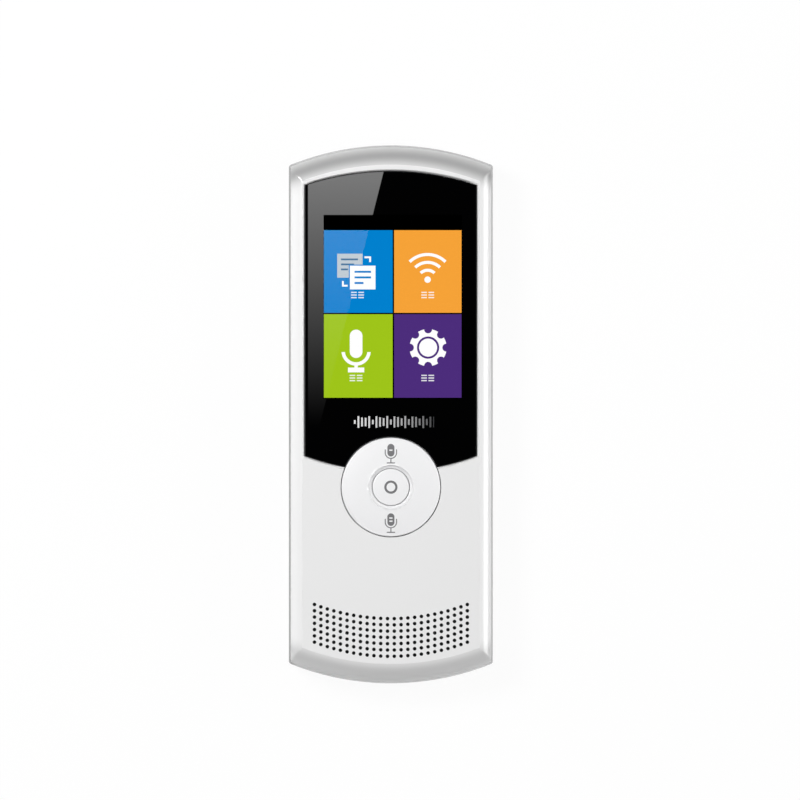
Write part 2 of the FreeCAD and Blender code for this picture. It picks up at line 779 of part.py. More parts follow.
def lens_tape():
    """Double-sided tape frame under the glass's border."""
    tape = piece("lens_tape", 0, 0, ledge)
    drawing = sketch(tape)
    lens_outline(drawing, -lens_edge * 2)
    pad(tape, drawing, glue_thickness)
    window = sketch(tape, lift=glue_thickness + 1)
    rectangle(window, screen_width + window_margin * 2, screen_length + window_margin * 2, x=screen_shift,
              y=screen_middle)
    circle(window, ring_radius + ring_gap + rib_wall, 0, -key_middle)
    pocket(tape, window, glue_thickness + 2)


def screen_stack():
    """Touch panel, gasket, screen glass, backlight, their frame, tails and mounting pads."""
    width = screen_width + window_margin
    length = screen_length + window_margin
    plate("touch_panel", screen_shift, screen_middle, touch_under, width, length, touch_thickness)

    tail = piece("touch_flex", 0, screen_middle, 0)
    drawing = sketch(tail, "XZ_Plane")
    start = screen_shift - screen_width / 2 - fit_gap
    edge = screen_shift - module_width / 2 - fit_gap * 2
    bend = tail_thickness
    outer = tail_thickness * 2
    top = touch_under
    foot = board_face + tail_thickness
    toe = edge - rib_wall * 2
    outline(drawing, [
        (start, top - tail_thickness), (start, top),
        (edge - tail_thickness + outer, top, outer, 1), (edge - tail_thickness, top - outer),
        (edge - tail_thickness, foot), (toe, foot), (toe, board_face), (edge, board_face),
        (edge, top - outer, bend, -1), (edge + bend, top - tail_thickness)])
    pad(tail, drawing, touch_tail_width, both_ways=True)

    seal = piece("lcd_gasket", screen_shift, screen_middle, module_face)
    drawing = sketch(seal)
    border = (module_width - screen_width - window_margin * 2) / 2 - fit_gap
    rectangle(drawing, screen_width + window_margin * 2 + border * 2, screen_length + window_margin * 2 + border * 2)
    rectangle(drawing, screen_width + window_margin * 2, screen_length + window_margin * 2)
    pad(seal, drawing, gasket_thickness)

    inner_width = module_width - frame_wall * 2
    inner_length = module_length - frame_wall * 2
    glass_thickness = module_thickness - frame_floor - backlight_thickness
    plate("lcd_panel", screen_shift, module_middle, module_face - glass_thickness, inner_width, inner_length,
          glass_thickness)
    plate("lcd_backlight", screen_shift, module_middle, module_under + frame_floor, inner_width, inner_length,
          backlight_thickness)
    frame = plate("lcd_frame", screen_shift, module_middle, module_under, module_width, module_length,
                  module_thickness, frame_wall)
    inside = sketch(frame, lift=module_thickness + 1)
    rectangle(inside, inner_width, inner_length)
    pocket(frame, inside, module_thickness + 1 - frame_floor)

    pads = piece("lcd_tape", screen_shift, module_middle, board_face)
    drawing = sketch(pads)
    for side in (-1, 1):
        rectangle(drawing, rib_wall * 6, module_length / 2, x=(module_width / 2 - rib_wall * 5) * side,
                  y=rib_wall * 8)
    pad(pads, drawing, pad_thickness)

    tail = piece("display_flex", screen_shift, 0, 0)
    drawing = sketch(tail, "YZ_Plane")
    face = module_middle - module_length / 2
    low = board_face + tail_thickness
    outline(drawing, [
        (face + screen_tail_width / 2, low - tail_thickness), (face + screen_tail_width / 2, low),
        (face, low), (face, module_face - frame_wall), (face - tail_thickness, module_face - frame_wall),
        (face - tail_thickness, low, outer - tail_thickness, 1), (face, low - tail_thickness)])
    pad(tail, drawing, screen_tail_width, both_ways=True)


def ring_key():
    """Rocker ring: crowned skin, dished inner edge, skirts, flange, pivots and two nubs."""
    ring = piece("ring_key", 0, -key_middle, 0)
    bore = centre_radius + centre_gap
    edge = body_depth + ring_proud
    crown = edge + ring_crown
    skin_under = edge - ring_skin
    skirt_under = flange_face
    rim = ring_radius - ring_edge_round
    rise = rim - moat_radius
    crown_radius = (rise * rise + ring_crown * ring_crown) / (ring_crown * 2) + moat_radius * 2
    section = sketch(ring, "XZ_Plane")
    outline(section, [
        (bore, skirt_under), (bore + skirt_wall, skirt_under), (bore + skirt_wall, skin_under),
        (ring_radius - skirt_wall, skin_under), (ring_radius - skirt_wall, flange_under),
        (flange_radius, flange_under), (flange_radius, flange_face), (ring_radius, flange_face),
        (ring_radius, edge - ring_edge_round, ring_edge_round, 1), (rim, edge, crown_radius, 1),
        (moat_radius, crown, moat_depth * 2, -1), (bore, crown - moat_depth)])
    turned(ring, section)
    pins = sketch(ring, "YZ_Plane", ring_radius - skirt_wall)
    circle(pins, pivot_radius, 0, pivot_level)
    pad(ring, pins, skirt_wall + flange_width + pivot_reach)
    pins = sketch(ring, "YZ_Plane", skirt_wall - ring_radius)
    circle(pins, pivot_radius, 0, pivot_level)
    pad(ring, pins, skirt_wall + flange_width + pivot_reach, downwards=True)
    nubs = sketch(ring, lift=dome_top + nub_gap)
    for side in (-1, 1):
        circle(nubs, nub_radius, 0, nub_spread * side)
    pad(ring, nubs, skin_under - dome_top + rib_wall / 2)
    webs = sketch(ring, lift=skirt_under + fit_gap * 3)
    web = ring_radius - bore - skirt_wall
    for side in (-1, 1):
        rectangle(webs, rib_wall, web, y=(bore + skirt_wall / 2 + web / 2) * side)
        rectangle(webs, web, rib_wall, x=(bore + skirt_wall / 2 + web / 2) * side)
    pad(ring, webs, skin_under - skirt_under)


def centre_key():
    """Round push key: crowned top, skirt with a stop flange and a nub on its dome."""
    key = piece("centre_key", 0, -key_middle, 0)
    edge = body_depth + ring_proud + ring_crown - moat_depth / 2
    top = edge + centre_crown
    skirt_under = flange_face - key_lift_room - skirt_wall / 2
    stop = flange_face - key_lift_room
    rim = centre_radius - ring_edge_round
    crown_radius = (rim * rim + centre_crown * centre_crown) / (centre_crown * 2)
    nub_under = dome_top + nub_gap
    skin_under = edge - ring_skin
    section = sketch(key, "XZ_Plane")
    outline(section, [
        (0, nub_under), (nub_radius, nub_under), (nub_radius, skin_under),
        (centre_radius - skirt_wall, skin_under), (centre_radius - skirt_wall, skirt_under),
        (centre_radius + skirt_wall - centre_gap, skirt_under), (centre_radius + skirt_wall - centre_gap, stop),
        (centre_radius, stop), (centre_radius, edge - ring_edge_round, ring_edge_round, 1),
        (rim, edge, crown_radius, 1), (0, top)])
    turned(key, section)


def key_carrier():
    """Frame between the board and the front that holds the ring key's two pivots."""
    carrier = piece("key_carrier", 0, -key_middle, board_face)
    reach = flange_radius + pivot_reach + pivot_gap * 2 + carrier_wall
    front = key_middle + module_middle - module_length / 2 - tail_thickness - fit_gap * 2
    back = flange_radius + pivot_reach
    drawing = sketch(carrier)
    rectangle(drawing, reach * 2, front + back, corner=rib_wall, y=(front - back) / 2)
    pad(carrier, drawing, ceiling - board_face)
    well = sketch(carrier, lift=ceiling - board_face + 1)
    circle(well, flange_radius + fit_gap * 4)
    pocket(carrier, well, ceiling - board_face + 2)
    slots = sketch(carrier, "YZ_Plane")
    slot = pivot_radius + pivot_gap
    height = pivot_level - board_face
    outline(slots, [(-slot, -fit_gap), (slot, -fit_gap), (slot, height, None, 1), (-slot, height)])
    pocket(carrier, slots, (reach - carrier_wall) * 2, both_ways=True)


def snap_dome(label, y):
    """Thin sprung dome under a key."""
    dome = piece(label, 0, y, board_face)
    sphere = (dome_radius * dome_radius + dome_height * dome_height) / (dome_height * 2)
    inner = sphere - dome_thickness
    foot = leg(inner, sphere - dome_height)
    section = sketch(dome, "XZ_Plane")
    outline(section, [
        (foot, 0), (dome_radius, 0, sphere, 1), (0, dome_height),
        (0, dome_height - dome_thickness, inner, -1)])
    turned(dome, section)


def dome_film():
    """Film that holds the three domes down, open over each."""
    film = plate("dome_film", 0, -key_middle, board_face, film_width, film_length,
                 dome_thickness, rib_wall)
    openings = sketch(film, lift=1)
    for place in (-1, 0, 1):
        circle(openings, dome_radius + fit_gap, 0, nub_spread * place)
    pocket(film, openings, 2)


def main_board():
    """Circuit board behind the screen and the keys, with a tongue between the top posts."""
    board = piece("main_board", 0, 0, board_under)
    drawing = sketch(board)
    x = board_width / 2
    step = tongue_width / 2
    outline(drawing, [
        (-x, -board_bottom), (x, -board_bottom), (x, board_top), (step, board_top),
        (step, tongue_top), (-step, tongue_top), (-step, board_top), (-x, board_top)])
    pad(board, drawing, board_thickness)
    outer = [float(board_bottom), float(tongue_top)]
    dress(board, "Fillet", board_corner, lambda edge: upright(edge) and abs(edge.BoundBox.Center.y) in outer)
    holes = sketch(board, lift=board_thickness + 1)
    for x, y in board_posts:
        circle(holes, board_screw_radius + thread_room * 2, x, y)
    pocket(board, holes, board_thickness + 2)


def under_board(label, x, y, width, length, height, corner=None):
    """Part soldered to the main board's underside."""
    return plate(label, x, y, board_under - height, width, length, height, corner)


def board_parts():
    """Chips, can, crystal, aerial, small parts and sockets under the main board."""
    can = under_board("shield_can", can_x, can_y, can_side, can_side, can_height)
    inside = sketch(can, lift=can_wall)
    rectangle(inside, can_side - can_wall * 2, can_side - can_wall * 2)
    pocket(can, inside, can_height, upwards=True)
    room = can_side / 2 - can_wall - rib_wall
    under_board("processor", can_x - room + processor_side / 2, can_y, processor_side, processor_side,
                processor_height)
    under_board("memory_chip", can_x + room - memory_width / 2, can_y, memory_width, memory_length,
                memory_height)
    under_board("power_chip", can_x + can_side / 2 + power_chip_side, battery_middle, power_chip_side,
                power_chip_side, processor_height)
    under_board("crystal", can_x - can_side / 2 - crystal_width, can_y, crystal_width, crystal_length,
                memory_height)
    under_board("antenna", tongue_width / 2 - antenna_length, tongue_top - antenna_width, antenna_length,
                antenna_width, antenna_height)
    small = piece("passives", can_x - can_side / 2 - passive_pitch * 2, can_y - can_side, board_under - passive_width)
    drawing = sketch(small)
    for column in range(6):
        for row in range(2):
            rectangle(drawing, passive_width, passive_length, x=passive_pitch * column,
                      y=passive_pitch * 1.5 * row)
    pad(small, drawing, passive_width)


def screws():
    """Four case screws from the back, five under the main board and two in the port board."""
    case = piece("case_screws", 0, 0, screw_sink)
    heads = sketch(case)
    for x, y in case_posts:
        circle(heads, screw_head_radius, x, y)
    pad(case, heads, screw_head)
    shafts = sketch(case)
    for x, y in case_posts:
        circle(shafts, screw_radius, x, y)
    pad(case, shafts, ceiling - screw_sink - rib_wall)
    cross_slots(case, case_posts, screw_slot_length, screw_head / 2)

    small = piece("board_screws", 0, 0, board_under - board_screw_head)
    heads = sketch(small)
    for x, y in board_posts:
        circle(heads, board_screw_head_radius, x, y)
    pad(small, heads, board_screw_head)
    shafts = sketch(small)
    for x, y in board_posts:
        circle(shafts, board_screw_radius, x, y)
    pad(small, shafts, ceiling - board_under + board_screw_head - rib_wall)

    port = piece("port_screws", 0, -port_post_y, port_face)
    places = [(port_post_x * side, 0) for side in (-1, 1)]
    heads = sketch(port)
    for x, y in places:
        circle(heads, board_screw_head_radius, x, y)
    pad(port, heads, board_screw_head)
    shafts = sketch(port)
    for x, y in places:
        circle(shafts, board_screw_radius, x, y)
    pad(port, shafts, port_face - back_wall - fit_gap * 2, downwards=True)


def cross_slots(body, places, width, depth):
    """Cross recess in the underside of each screw head."""
    arm = width / 4
    for wide, tall in ((width, arm), (arm, width)):
        slots = sketch(body)
        for x, y in places:
            rectangle(slots, wide, tall, x=x, y=y)
        pocket(body, slots, depth, upwards=True)


def battery():
    """Pouch cell with its small board, the tape under it, two leads and their socket."""
    cell = plate("battery_cell", 0, battery_middle, cell_under, battery_width, battery_length,
                 battery_thickness, battery_edge)
    dress(cell, "Fillet", battery_edge, lambda edge: at_level(edge, 0) or at_level(edge, battery_thickness))
    cell_end = battery_middle + battery_length / 2
    plate("battery_board", 0, cell_end + battery_board_length / 2, cell_under + battery_thickness / 4,
          battery_board_width, battery_board_length - fit_gap, battery_thickness / 2)
    plate("battery_tape", 0, battery_middle, back_wall, battery_width - battery_edge * 3,
          battery_length - battery_edge * 3, glue_thickness)
    socket_y = cell_end + battery_board_length + socket_length / 2 - fit_gap
    under_board("battery_connector", -post_x / 2, socket_y - socket_length, socket_width, socket_length,
                socket_height + rib_wall / 2)
    lead_level = cell_under + battery_thickness / 2
    socket_level = board_under - socket_height / 2 - rib_wall / 4
    start = float(cell_end + battery_board_length - fit_gap / 2)
    mouth = float(socket_y - socket_length / 2)
    bow = float(lead_radius) * 6
    tubes = []
    for side in (-1, 1):
        x = float(-post_x / 2 + lead_spread * side)
        route = [V(x, start, float(lead_level)), V(x, start + bow, float(lead_level)),
                 V(x, start + bow, float(socket_level)), V(x, mouth, float(socket_level))]
        tubes.append(tube(route, float(lead_radius), float(lead_bend)))
    loose("battery_leads", tubes)


def tube(route, radius, bend):
    """Round wire along straight runs joined by tangent arcs of the bend radius."""
    edges = []
    here = route[0]
    for before, corner, after in zip(route, route[1:], route[2:]):
        back = (before - corner).normalize()
        onward = (after - corner).normalize()
        turn = math.pi - back.getAngle(onward)
        reach = bend * math.tan(turn / 2)
        middle = (back + onward).normalize()
        enter = corner + back * reach
        leave = corner + onward * reach
        centre = corner + middle * (bend / math.cos(turn / 2))
        edges.append(Part.LineSegment(here, enter).toShape())
        edges.append(Part.Arc(enter, centre - middle * bend, leave).toShape())
        here = leave
    edges.append(Part.LineSegment(here, route[-1]).toShape())
    path = Part.Wire(edges)
    ring = Part.Wire([Part.Circle(route[0], (route[1] - route[0]).normalize(), radius).toShape()])
    return path.makePipeShell([ring], True, False)


def loose(label, solids):
    """A sub-part made of ready solids."""
    feature = doc.addObject("Part::Feature", label)
    feature.Label = label
    feature.Shape = solids[0] if len(solids) == 1 else Part.makeCompound(solids)
    feature.Placement = FreeCAD.Placement()
    parts.append(feature)


def charging_port():
    """Charging socket on its own board, and the flat cable to the main board."""
    board_length = port_board_end - port_board_start
    board_y = -(port_board_end + port_board_start) / 2
    board = plate("port_board", 0, board_y, port_board_height, port_board_width, board_length,
                  port_board_thickness, board_corner)
    holes = sketch(board, lift=port_board_thickness + 1)
    for side in (-1, 1):
        circle(holes, board_screw_radius + thread_room * 2, port_post_x * side, -port_post_y - board_y)
    pocket(board, holes, port_board_thickness + 2)

    mouth = half_length - usb_inset
    shell = piece("usb_shell", 0, -mouth, port_face)
    outer = sketch(shell, "XZ_Plane")
    socket_outline(outer, 0)
    pad(shell, outer, usb_length, downwards=True)
    inner = sketch(shell, "XZ_Plane", 1)
    socket_outline(inner, usb_wall)
    pocket(shell, inner, usb_length + 1 - usb_wall)

    tongue = piece("usb_tongue", 0, -mouth, port_face)
    base = sketch(tongue, "XZ_Plane", usb_wall - usb_length)
    socket_outline(base, usb_wall + thread_room)
    pad(tongue, base, usb_length / 4)
    blade = sketch(tongue, "XZ_Plane", usb_wall - usb_length)
    rectangle(blade, usb_width / 2, tongue_height, y=usb_height - usb_height * 0.4)
    pad(tongue, blade, usb_length - usb_wall * 3)

    link_end = -port_board_start - socket_length / 2
    join_y = -board_bottom + socket_length / 2
    sockets = piece("link_connectors", 0, 0, 0)
    lower = sketch(sockets, lift=port_face)
    rectangle(lower, link_width + rib_wall, socket_length, x=link_x, y=link_end)
    pad(sockets, lower, socket_height)
    upper = sketch(sockets, lift=board_under - socket_height)
    rectangle(upper, link_width + rib_wall, socket_length, x=link_x, y=join_y)
    pad(sockets, upper, socket_height)
    flex = piece("link_flex", link_x, 0, 0)
    drawing = sketch(flex, "YZ_Plane")
    low = port_face + socket_height / 2
    high = board_under - socket_height / 2
    start = link_end + socket_length / 2
    stop = join_y - socket_length / 2
    outline(drawing, [
        (start, low), (start + rib_wall, low), (stop - rib_wall, high), (stop, high),
        (stop, high + tail_thickness), (stop - rib_wall - fit_gap, high + tail_thickness),
        (start + rib_wall - fit_gap, low + tail_thickness), (start, low + tail_thickness)])
    pad(flex, drawing, link_width, both_ways=True)


def socket_outline(drawing, inset):
    """Mouth of the charging socket: flat top, sides that slope in at the lower corners."""
    x = usb_width / 2 - inset
    outline(drawing, [
        (-x + usb_slope, inset * 1), (x - usb_slope, inset * 1), (x, usb_slope + inset * 1),
        (x, usb_height - inset), (-x, usb_height - inset), (-x, usb_slope + inset * 1)])


def speaker():
    """Flat speaker behind the grille: cloth, foam seal, frame, cone, magnet and its two leads."""
    cloth = piece("grille_mesh", 0, 0, ceiling - mesh_thickness)
    drawing = sketch(cloth)
    rows_height = grille_row_pitch * (grille_rows - 1)
    half_angle = math.radians(float(grille_column_angle) * grille_columns / 2)
    reach = grille_radius * math.sin(half_angle) + mesh_margin / 2
    upper = grille_radius - mesh_margin
    lower = grille_radius + mesh_margin
    centre = grille_radius - grille_top
    top_y = centre - leg(upper, reach)
    bottom_y = centre - rows_height - leg(lower, reach)
    outline(drawing, [(-reach, bottom_y, lower, 1), (reach, bottom_y), (reach, top_y, upper, -1), (-reach, top_y)])
    pad(cloth, drawing, mesh_thickness)

    inner_width = speaker_width - speaker_rim * 2
    inner_length = speaker_length - speaker_rim * 2
    inner_corner = speaker_corner - speaker_rim
    seal = piece("speaker_gasket", 0, -speaker_middle, speaker_face)
    drawing = sketch(seal)
    rectangle(drawing, speaker_width, speaker_length, speaker_corner)
    rectangle(drawing, inner_width, inner_length, inner_corner)
    pad(seal, drawing, speaker_gasket_thickness)
    frame = plate("speaker_frame", 0, -speaker_middle, speaker_under, speaker_width, speaker_length,
                  speaker_depth, speaker_corner)
    bowl = sketch(frame, lift=speaker_depth + 1)
    rectangle(bowl, inner_width, inner_length, inner_corner)
    pocket(frame, bowl, speaker_depth + 1 - speaker_floor)
    throat = sketch(frame, lift=speaker_floor + 1)
    circle(throat, magnet_radius)
    pocket(frame, throat, speaker_floor + 2)

    cone_level = speaker_face - cone_dome - cone_thickness
    cone = plate("speaker_cone", 0, -speaker_middle, cone_level, inner_width, inner_length, cone_thickness,
                 inner_corner)
    sphere = (cone_dome_radius * cone_dome_radius + cone_dome * cone_dome) / (cone_dome * 2)
    cap = sketch(cone, "XZ_Plane")
    outline(cap, [
        (0, cone_thickness / 2), (cone_dome_radius, cone_thickness / 2),
        (cone_dome_radius, cone_thickness, sphere, 1), (0, cone_thickness + cone_dome)])
    turned(cone, cap)

    magnet = piece("speaker_magnet", 0, -speaker_middle, speaker_under + speaker_floor - magnet_height)
    drawing = sketch(magnet)
    circle(drawing, magnet_radius)
    pad(magnet, drawing, magnet_height)
    gap_ring = sketch(magnet, lift=magnet_height)
    circle(gap_ring, magnet_radius - rib_wall)
    circle(gap_ring, magnet_radius - rib_wall * 2)
    pocket(magnet, gap_ring, magnet_height / 2)

    tubes = []
    y_end = float(speaker_length / 2 - speaker_middle)
    level = float(speaker_under + speaker_floor)
    for side in (-1, 1):
        x = float(magnet_radius * 2 + lead_spread * side)
        route = [V(x, y_end, level), V(x, y_end + 3, level), V(x, y_end + 3, float(board_under - lead_radius)),
                 V(x, float(-board_bottom) + 3, float(board_under - lead_radius))]
        tubes.append(tube(route, float(lead_radius), float(lead_bend)))
    loose("speaker_leads", tubes)


def microphone(label, place, outward):
    """Microphone capsule in a rubber boot whose nose meets the end wall."""
    x, y = place
    start = y - boot_reach() / 2 * outward
    capsule = piece(label, x, start + boot_wall * outward, mic_height)
    drawing = sketch(capsule, "XZ_Plane")
    circle(drawing, mic_radius)
    pad(capsule, drawing, mic_length, downwards=outward > 0)
    boot = piece(label + "_boot", x, start, mic_height)
    drawing = sketch(boot, "XZ_Plane")
    circle(drawing, mic_radius + boot_wall)
    pad(boot, drawing, boot_reach(), downwards=outward > 0)
    nose = sketch(boot, "XZ_Plane", -boot_reach() * outward)
    circle(nose, mic_hole_radius * 2)
    pad(boot, nose, boot_nose - fit_gap, downwards=outward > 0)
    bed = sketch(boot, "XZ_Plane", -boot_wall * outward)
    circle(bed, mic_radius)
    pocket(boot, bed, mic_length, upwards=outward < 0)
    sound = sketch(boot, "XZ_Plane", -boot_wall * outward)
    circle(sound, mic_hole_radius)
    pocket(boot, sound, boot_reach() + boot_nose, upwards=outward < 0)


def build():
    """Makes every sub-part, checks each one and writes its file."""
    back_shell()
    front_shell()
    cover_lens()
    lens_tape()
    screen_stack()
    ring_key()
    centre_key()
    key_carrier()
    snap_dome("dome_a", nub_spread - key_middle)
    snap_dome("dome_b", -nub_spread - key_middle)
    snap_dome("dome_ok", -key_middle)
    dome_film()
    main_board()
    board_parts()
    screws()
    battery()
    charging_port()
    speaker()
    microphone("bottom_mic", bottom_boot(), -1)
    microphone("top_mic", top_boot(), 1)
    doc.recompute()
    check_model()
    os.makedirs("parts", exist_ok=True)
    for part in parts:
        part.Shape.exportStep("parts/%s.step" % part.Label)
        print("%-18s %8.2f mm3 in %d" % (part.Label, part.Shape.Volume, len(part.Shape.Solids)))


def check_model():
    """Stops at any failed object, empty or broken shape, or cut that removed nothing."""
    for thing in doc.Objects:
        if "Invalid" in thing.State or "Error" in thing.State:
            raise RuntimeError("%s in %s" % (thing.State, thing.Name))
        if thing.TypeId in ("PartDesign::Pocket", "PartDesign::Groove"):
            if thing.Shape.Volume > thing.BaseFeature.Shape.Volume - 1e-4:
                raise RuntimeError("nothing cut by " + thing.Name)
    for part in parts:
        if part.Shape.isNull() or not part.Shape.isValid() or not part.Shape.Solids:
            raise RuntimeError("bad shape in " + part.Label)


build()
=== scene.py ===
"""Dresses the handheld translator: moulded white housing, black cover glass over a lit screen, rocker key."""
import json
import math

import bpy
from bpy.props import FloatProperty, FloatVectorProperty, PointerProperty
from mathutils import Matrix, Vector

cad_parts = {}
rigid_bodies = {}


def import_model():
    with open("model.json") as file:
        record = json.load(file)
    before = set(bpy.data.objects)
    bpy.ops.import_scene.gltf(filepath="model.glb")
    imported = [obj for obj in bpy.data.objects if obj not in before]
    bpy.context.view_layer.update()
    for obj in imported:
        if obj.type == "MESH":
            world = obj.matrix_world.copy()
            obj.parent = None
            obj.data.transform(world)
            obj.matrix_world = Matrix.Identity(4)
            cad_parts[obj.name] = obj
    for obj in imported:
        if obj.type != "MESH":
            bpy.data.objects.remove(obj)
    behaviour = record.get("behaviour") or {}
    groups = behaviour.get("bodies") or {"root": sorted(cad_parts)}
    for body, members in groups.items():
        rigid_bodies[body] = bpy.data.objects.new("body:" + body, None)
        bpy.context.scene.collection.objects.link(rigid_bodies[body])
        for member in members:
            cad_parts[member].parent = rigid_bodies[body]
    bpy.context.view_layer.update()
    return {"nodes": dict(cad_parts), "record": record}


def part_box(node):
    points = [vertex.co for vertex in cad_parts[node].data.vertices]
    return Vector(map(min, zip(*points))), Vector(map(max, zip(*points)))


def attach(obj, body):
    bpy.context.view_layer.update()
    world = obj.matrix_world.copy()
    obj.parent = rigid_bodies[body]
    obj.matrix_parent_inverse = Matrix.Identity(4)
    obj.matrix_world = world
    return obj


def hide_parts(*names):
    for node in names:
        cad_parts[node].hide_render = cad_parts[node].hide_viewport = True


bl_info = {
    "name": "Handheld translator",
    "version": (1, 0, 0),
    "blender": (4, 5, 0),
    "location": "3D View > Sidebar > Translator",
    "description": "Shapes and finishes of a handheld translator over its solids",
    "category": "Object",
}

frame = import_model()

MM = 0.001
PIXEL = 0.2665
PICTURE = 800
MIDDLE_PX = (390.9, 414.35)
DEVICE_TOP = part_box("front_shell")[1][2]
DEVICE_LEFT, DEVICE_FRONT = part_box("front_shell")[0][:2]
GLASS_LOW, GLASS_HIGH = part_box("cover_lens")
PANEL_LOW, PANEL_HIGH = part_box("lcd_panel")
CENTRE_LOW, CENTRE_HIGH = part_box("centre_key")

# The housing's shapes and painted shade: distances in millimetres, shades as shares, the grille's row in the
# photograph
SIDE_ROLL = 3.6
END_ROLL = 5.3
EDGE_LINE = 0.5
BAND_PLACE = 2.7
BAND_WIDTH = 2.5
LOWER_BAND_SHIFT = 0.6
LOWER_BAND_NARROWER = 0.4
LOWER_BAND_PALER = 0.53
PAINTED_EDGE_SHADE = 0.45
LEFT_EDGE_DARKER = 0.22
LOWER_EDGE_PALER = 0.3
CORNER_BLEND = 0.6
FACE_MARGIN = 0.03
HOLE_MARGIN = 0.01
GRILLE_ROW = 596

# Printing and screen: signs and the window's size in millimetres, other places in the photograph
KEY_Y = (CENTRE_LOW[1] + CENTRE_HIGH[1]) / 2 / MM
KEY_SIGNS = {
    "head": (1.87, 3.36), "reach": 1.5, "drop": 0.68, "rise": 0.2, "line": 0.28, "foot": (2.2, 0.3, 3.4)}
TILE_SIGN = {
    "head": (3.38, 7.54), "reach": 3.44, "drop": 1.93, "rise": -2.2, "line": 0.9, "foot": (4.34, 1.28, 6.97)}
TILE_COLUMNS = ((323.9, 392.6), (394.1, 461.5))
TILE_ROWS = ((230.2, 312.8), (314.2, 397.7))
WINDOW_SIZE = (36.9, 49.1)
WINDOW_ROW = 307
BAR_ENDS = (353, 434)
BAR_ROW = 422
BLACK = (0, 0, 0, 1)
WHITE = (1, 1, 1, 1)
# Painted shade colours: near black in the grille's holes and on the grille cloth, dark grey across the rolled
# ends and along the edge.
PAINTED_HOLE_SHADE = (0.002, 0.002, 0.002, 1)
PAINTED_RIM_SHADE = (0.02, 0.02, 0.02, 1)

# The stage: heights and places in metres, the glare's rows in the photograph
FLOOR_DROP = 0.00005
FLOOR_GLOW = 0.94
FLAG_HEIGHT = 0.72
GLARE_HEIGHT = 0.7
GLARE_ROWS = (430, 180)
CARD_PLACE = (0.6, 0, 0.2)
CARD_DIFFERENCE = 0.6
CAMERA_HEIGHT = 0.6


def linear(red, green, blue):
    """The scene's linear colour, with an alpha of 1, for a display colour of 0 to 255."""
    parts = []
    for value in (red, green, blue):
        share = value / 255
        parts.append(share / 12.92 if share <= 0.04045 else ((share + 0.055) / 1.055) ** 2.4)
    return (*parts, 1.0)


def across(px):
    """Millimetres to the right of the device's middle for a column of the photograph."""
    return (px - MIDDLE_PX[0]) * PIXEL


def up(px):
    """Millimetres above the device's middle for a row of the photograph."""
    return (MIDDLE_PX[1] - px) * PIXEL


class HousingLook(bpy.types.PropertyGroup):
    face_colour: FloatVectorProperty(
        name="Face", description="Colour of the flat front and back", subtype="COLOR", size=4, min=0, max=1,
        default=linear(228, 228, 228))
    rim_colour: FloatVectorProperty(
        name="Rim", description="Colour of the rolled edges", subtype="COLOR", size=4, min=0, max=1,
        default=linear(233, 233, 233))
    face_roughness: FloatProperty(
        name="Face roughness", description="Roughness of the flat front", default=0.42, min=0, max=1)
    rim_roughness: FloatProperty(
        name="Rim roughness", description="Roughness of the rolled edges", default=0.22, min=0, max=1)
    # Painted shade: how far the band painted across each rolled end darkens, in place of the shade that the
    # ends fall into.
    painted_end_shade: FloatProperty(
        name="End shade", description="How far the tinted band in each end darkens",
        default=0.59, min=0, max=1)


class GlassLook(bpy.types.PropertyGroup):
    black: FloatVectorProperty(
        name="Border", description="Colour printed behind the glass", subtype="COLOR", size=4, min=0, max=1,
        default=(0.0006, 0.0006, 0.0007, 1))
    bar_pitch: FloatProperty(
        name="Bar pitch", description="Step of the printed level bars in millimetres", default=0.96, min=0.3)


class ScreenLook(bpy.types.PropertyGroup):
    blue: FloatVectorProperty(
        name="Upper left", description="Tile colour", subtype="COLOR", size=4, min=0, max=1,
        default=linear(2, 128, 205))
    orange: FloatVectorProperty(
        name="Upper right", description="Tile colour", subtype="COLOR", size=4, min=0, max=1,
        default=linear(245, 162, 56))
    green: FloatVectorProperty(
        name="Lower left", description="Tile colour", subtype="COLOR", size=4, min=0, max=1,
        default=linear(158, 196, 26))
    purple: FloatVectorProperty(
        name="Lower right", description="Tile colour", subtype="COLOR", size=4, min=0, max=1,
        default=linear(76, 45, 123))
    brightness: FloatProperty(
        name="Brightness", description="Strength of the lit picture", default=1.08, min=0, max=10)


class KeyLook(bpy.types.PropertyGroup):
    colour: FloatVectorProperty(
        name="Keys", description="Colour of both keys", subtype="COLOR", size=4, min=0, max=1,
        default=linear(235, 235, 236))
    sign_colour: FloatVectorProperty(
        name="Signs", description="Colour of the printed signs", subtype="COLOR", size=4, min=0, max=1,
        default=linear(112, 112, 114))
    roughness: FloatProperty(name="Roughness", description="Roughness of the keys", default=0.3, min=0, max=1)


class StageLook(bpy.types.PropertyGroup):
    overhead: FloatProperty(
        name="Overhead", description="Power of the lamp above in watts", default=1.9, min=0)
    key_light: FloatProperty(
        name="Key light", description="Power of the upper left lamp in watts", default=5.6, min=0)
    side_light: FloatProperty(
        name="Sides", description="Power that the two side lamps take their shares of, in watts",
        default=1.5, min=0)
    side_cards: FloatProperty(
        name="Side cards", description="Mean strength of the cards that the rolled sides mirror",
        default=3.2, min=0)
    room: FloatProperty(
        name="Room", description="Strength of the light from all round", default=0.27, min=0)
    glare: FloatProperty(
        name="Glare", description="Strength of the card that the glass mirrors", default=4.6, min=0)


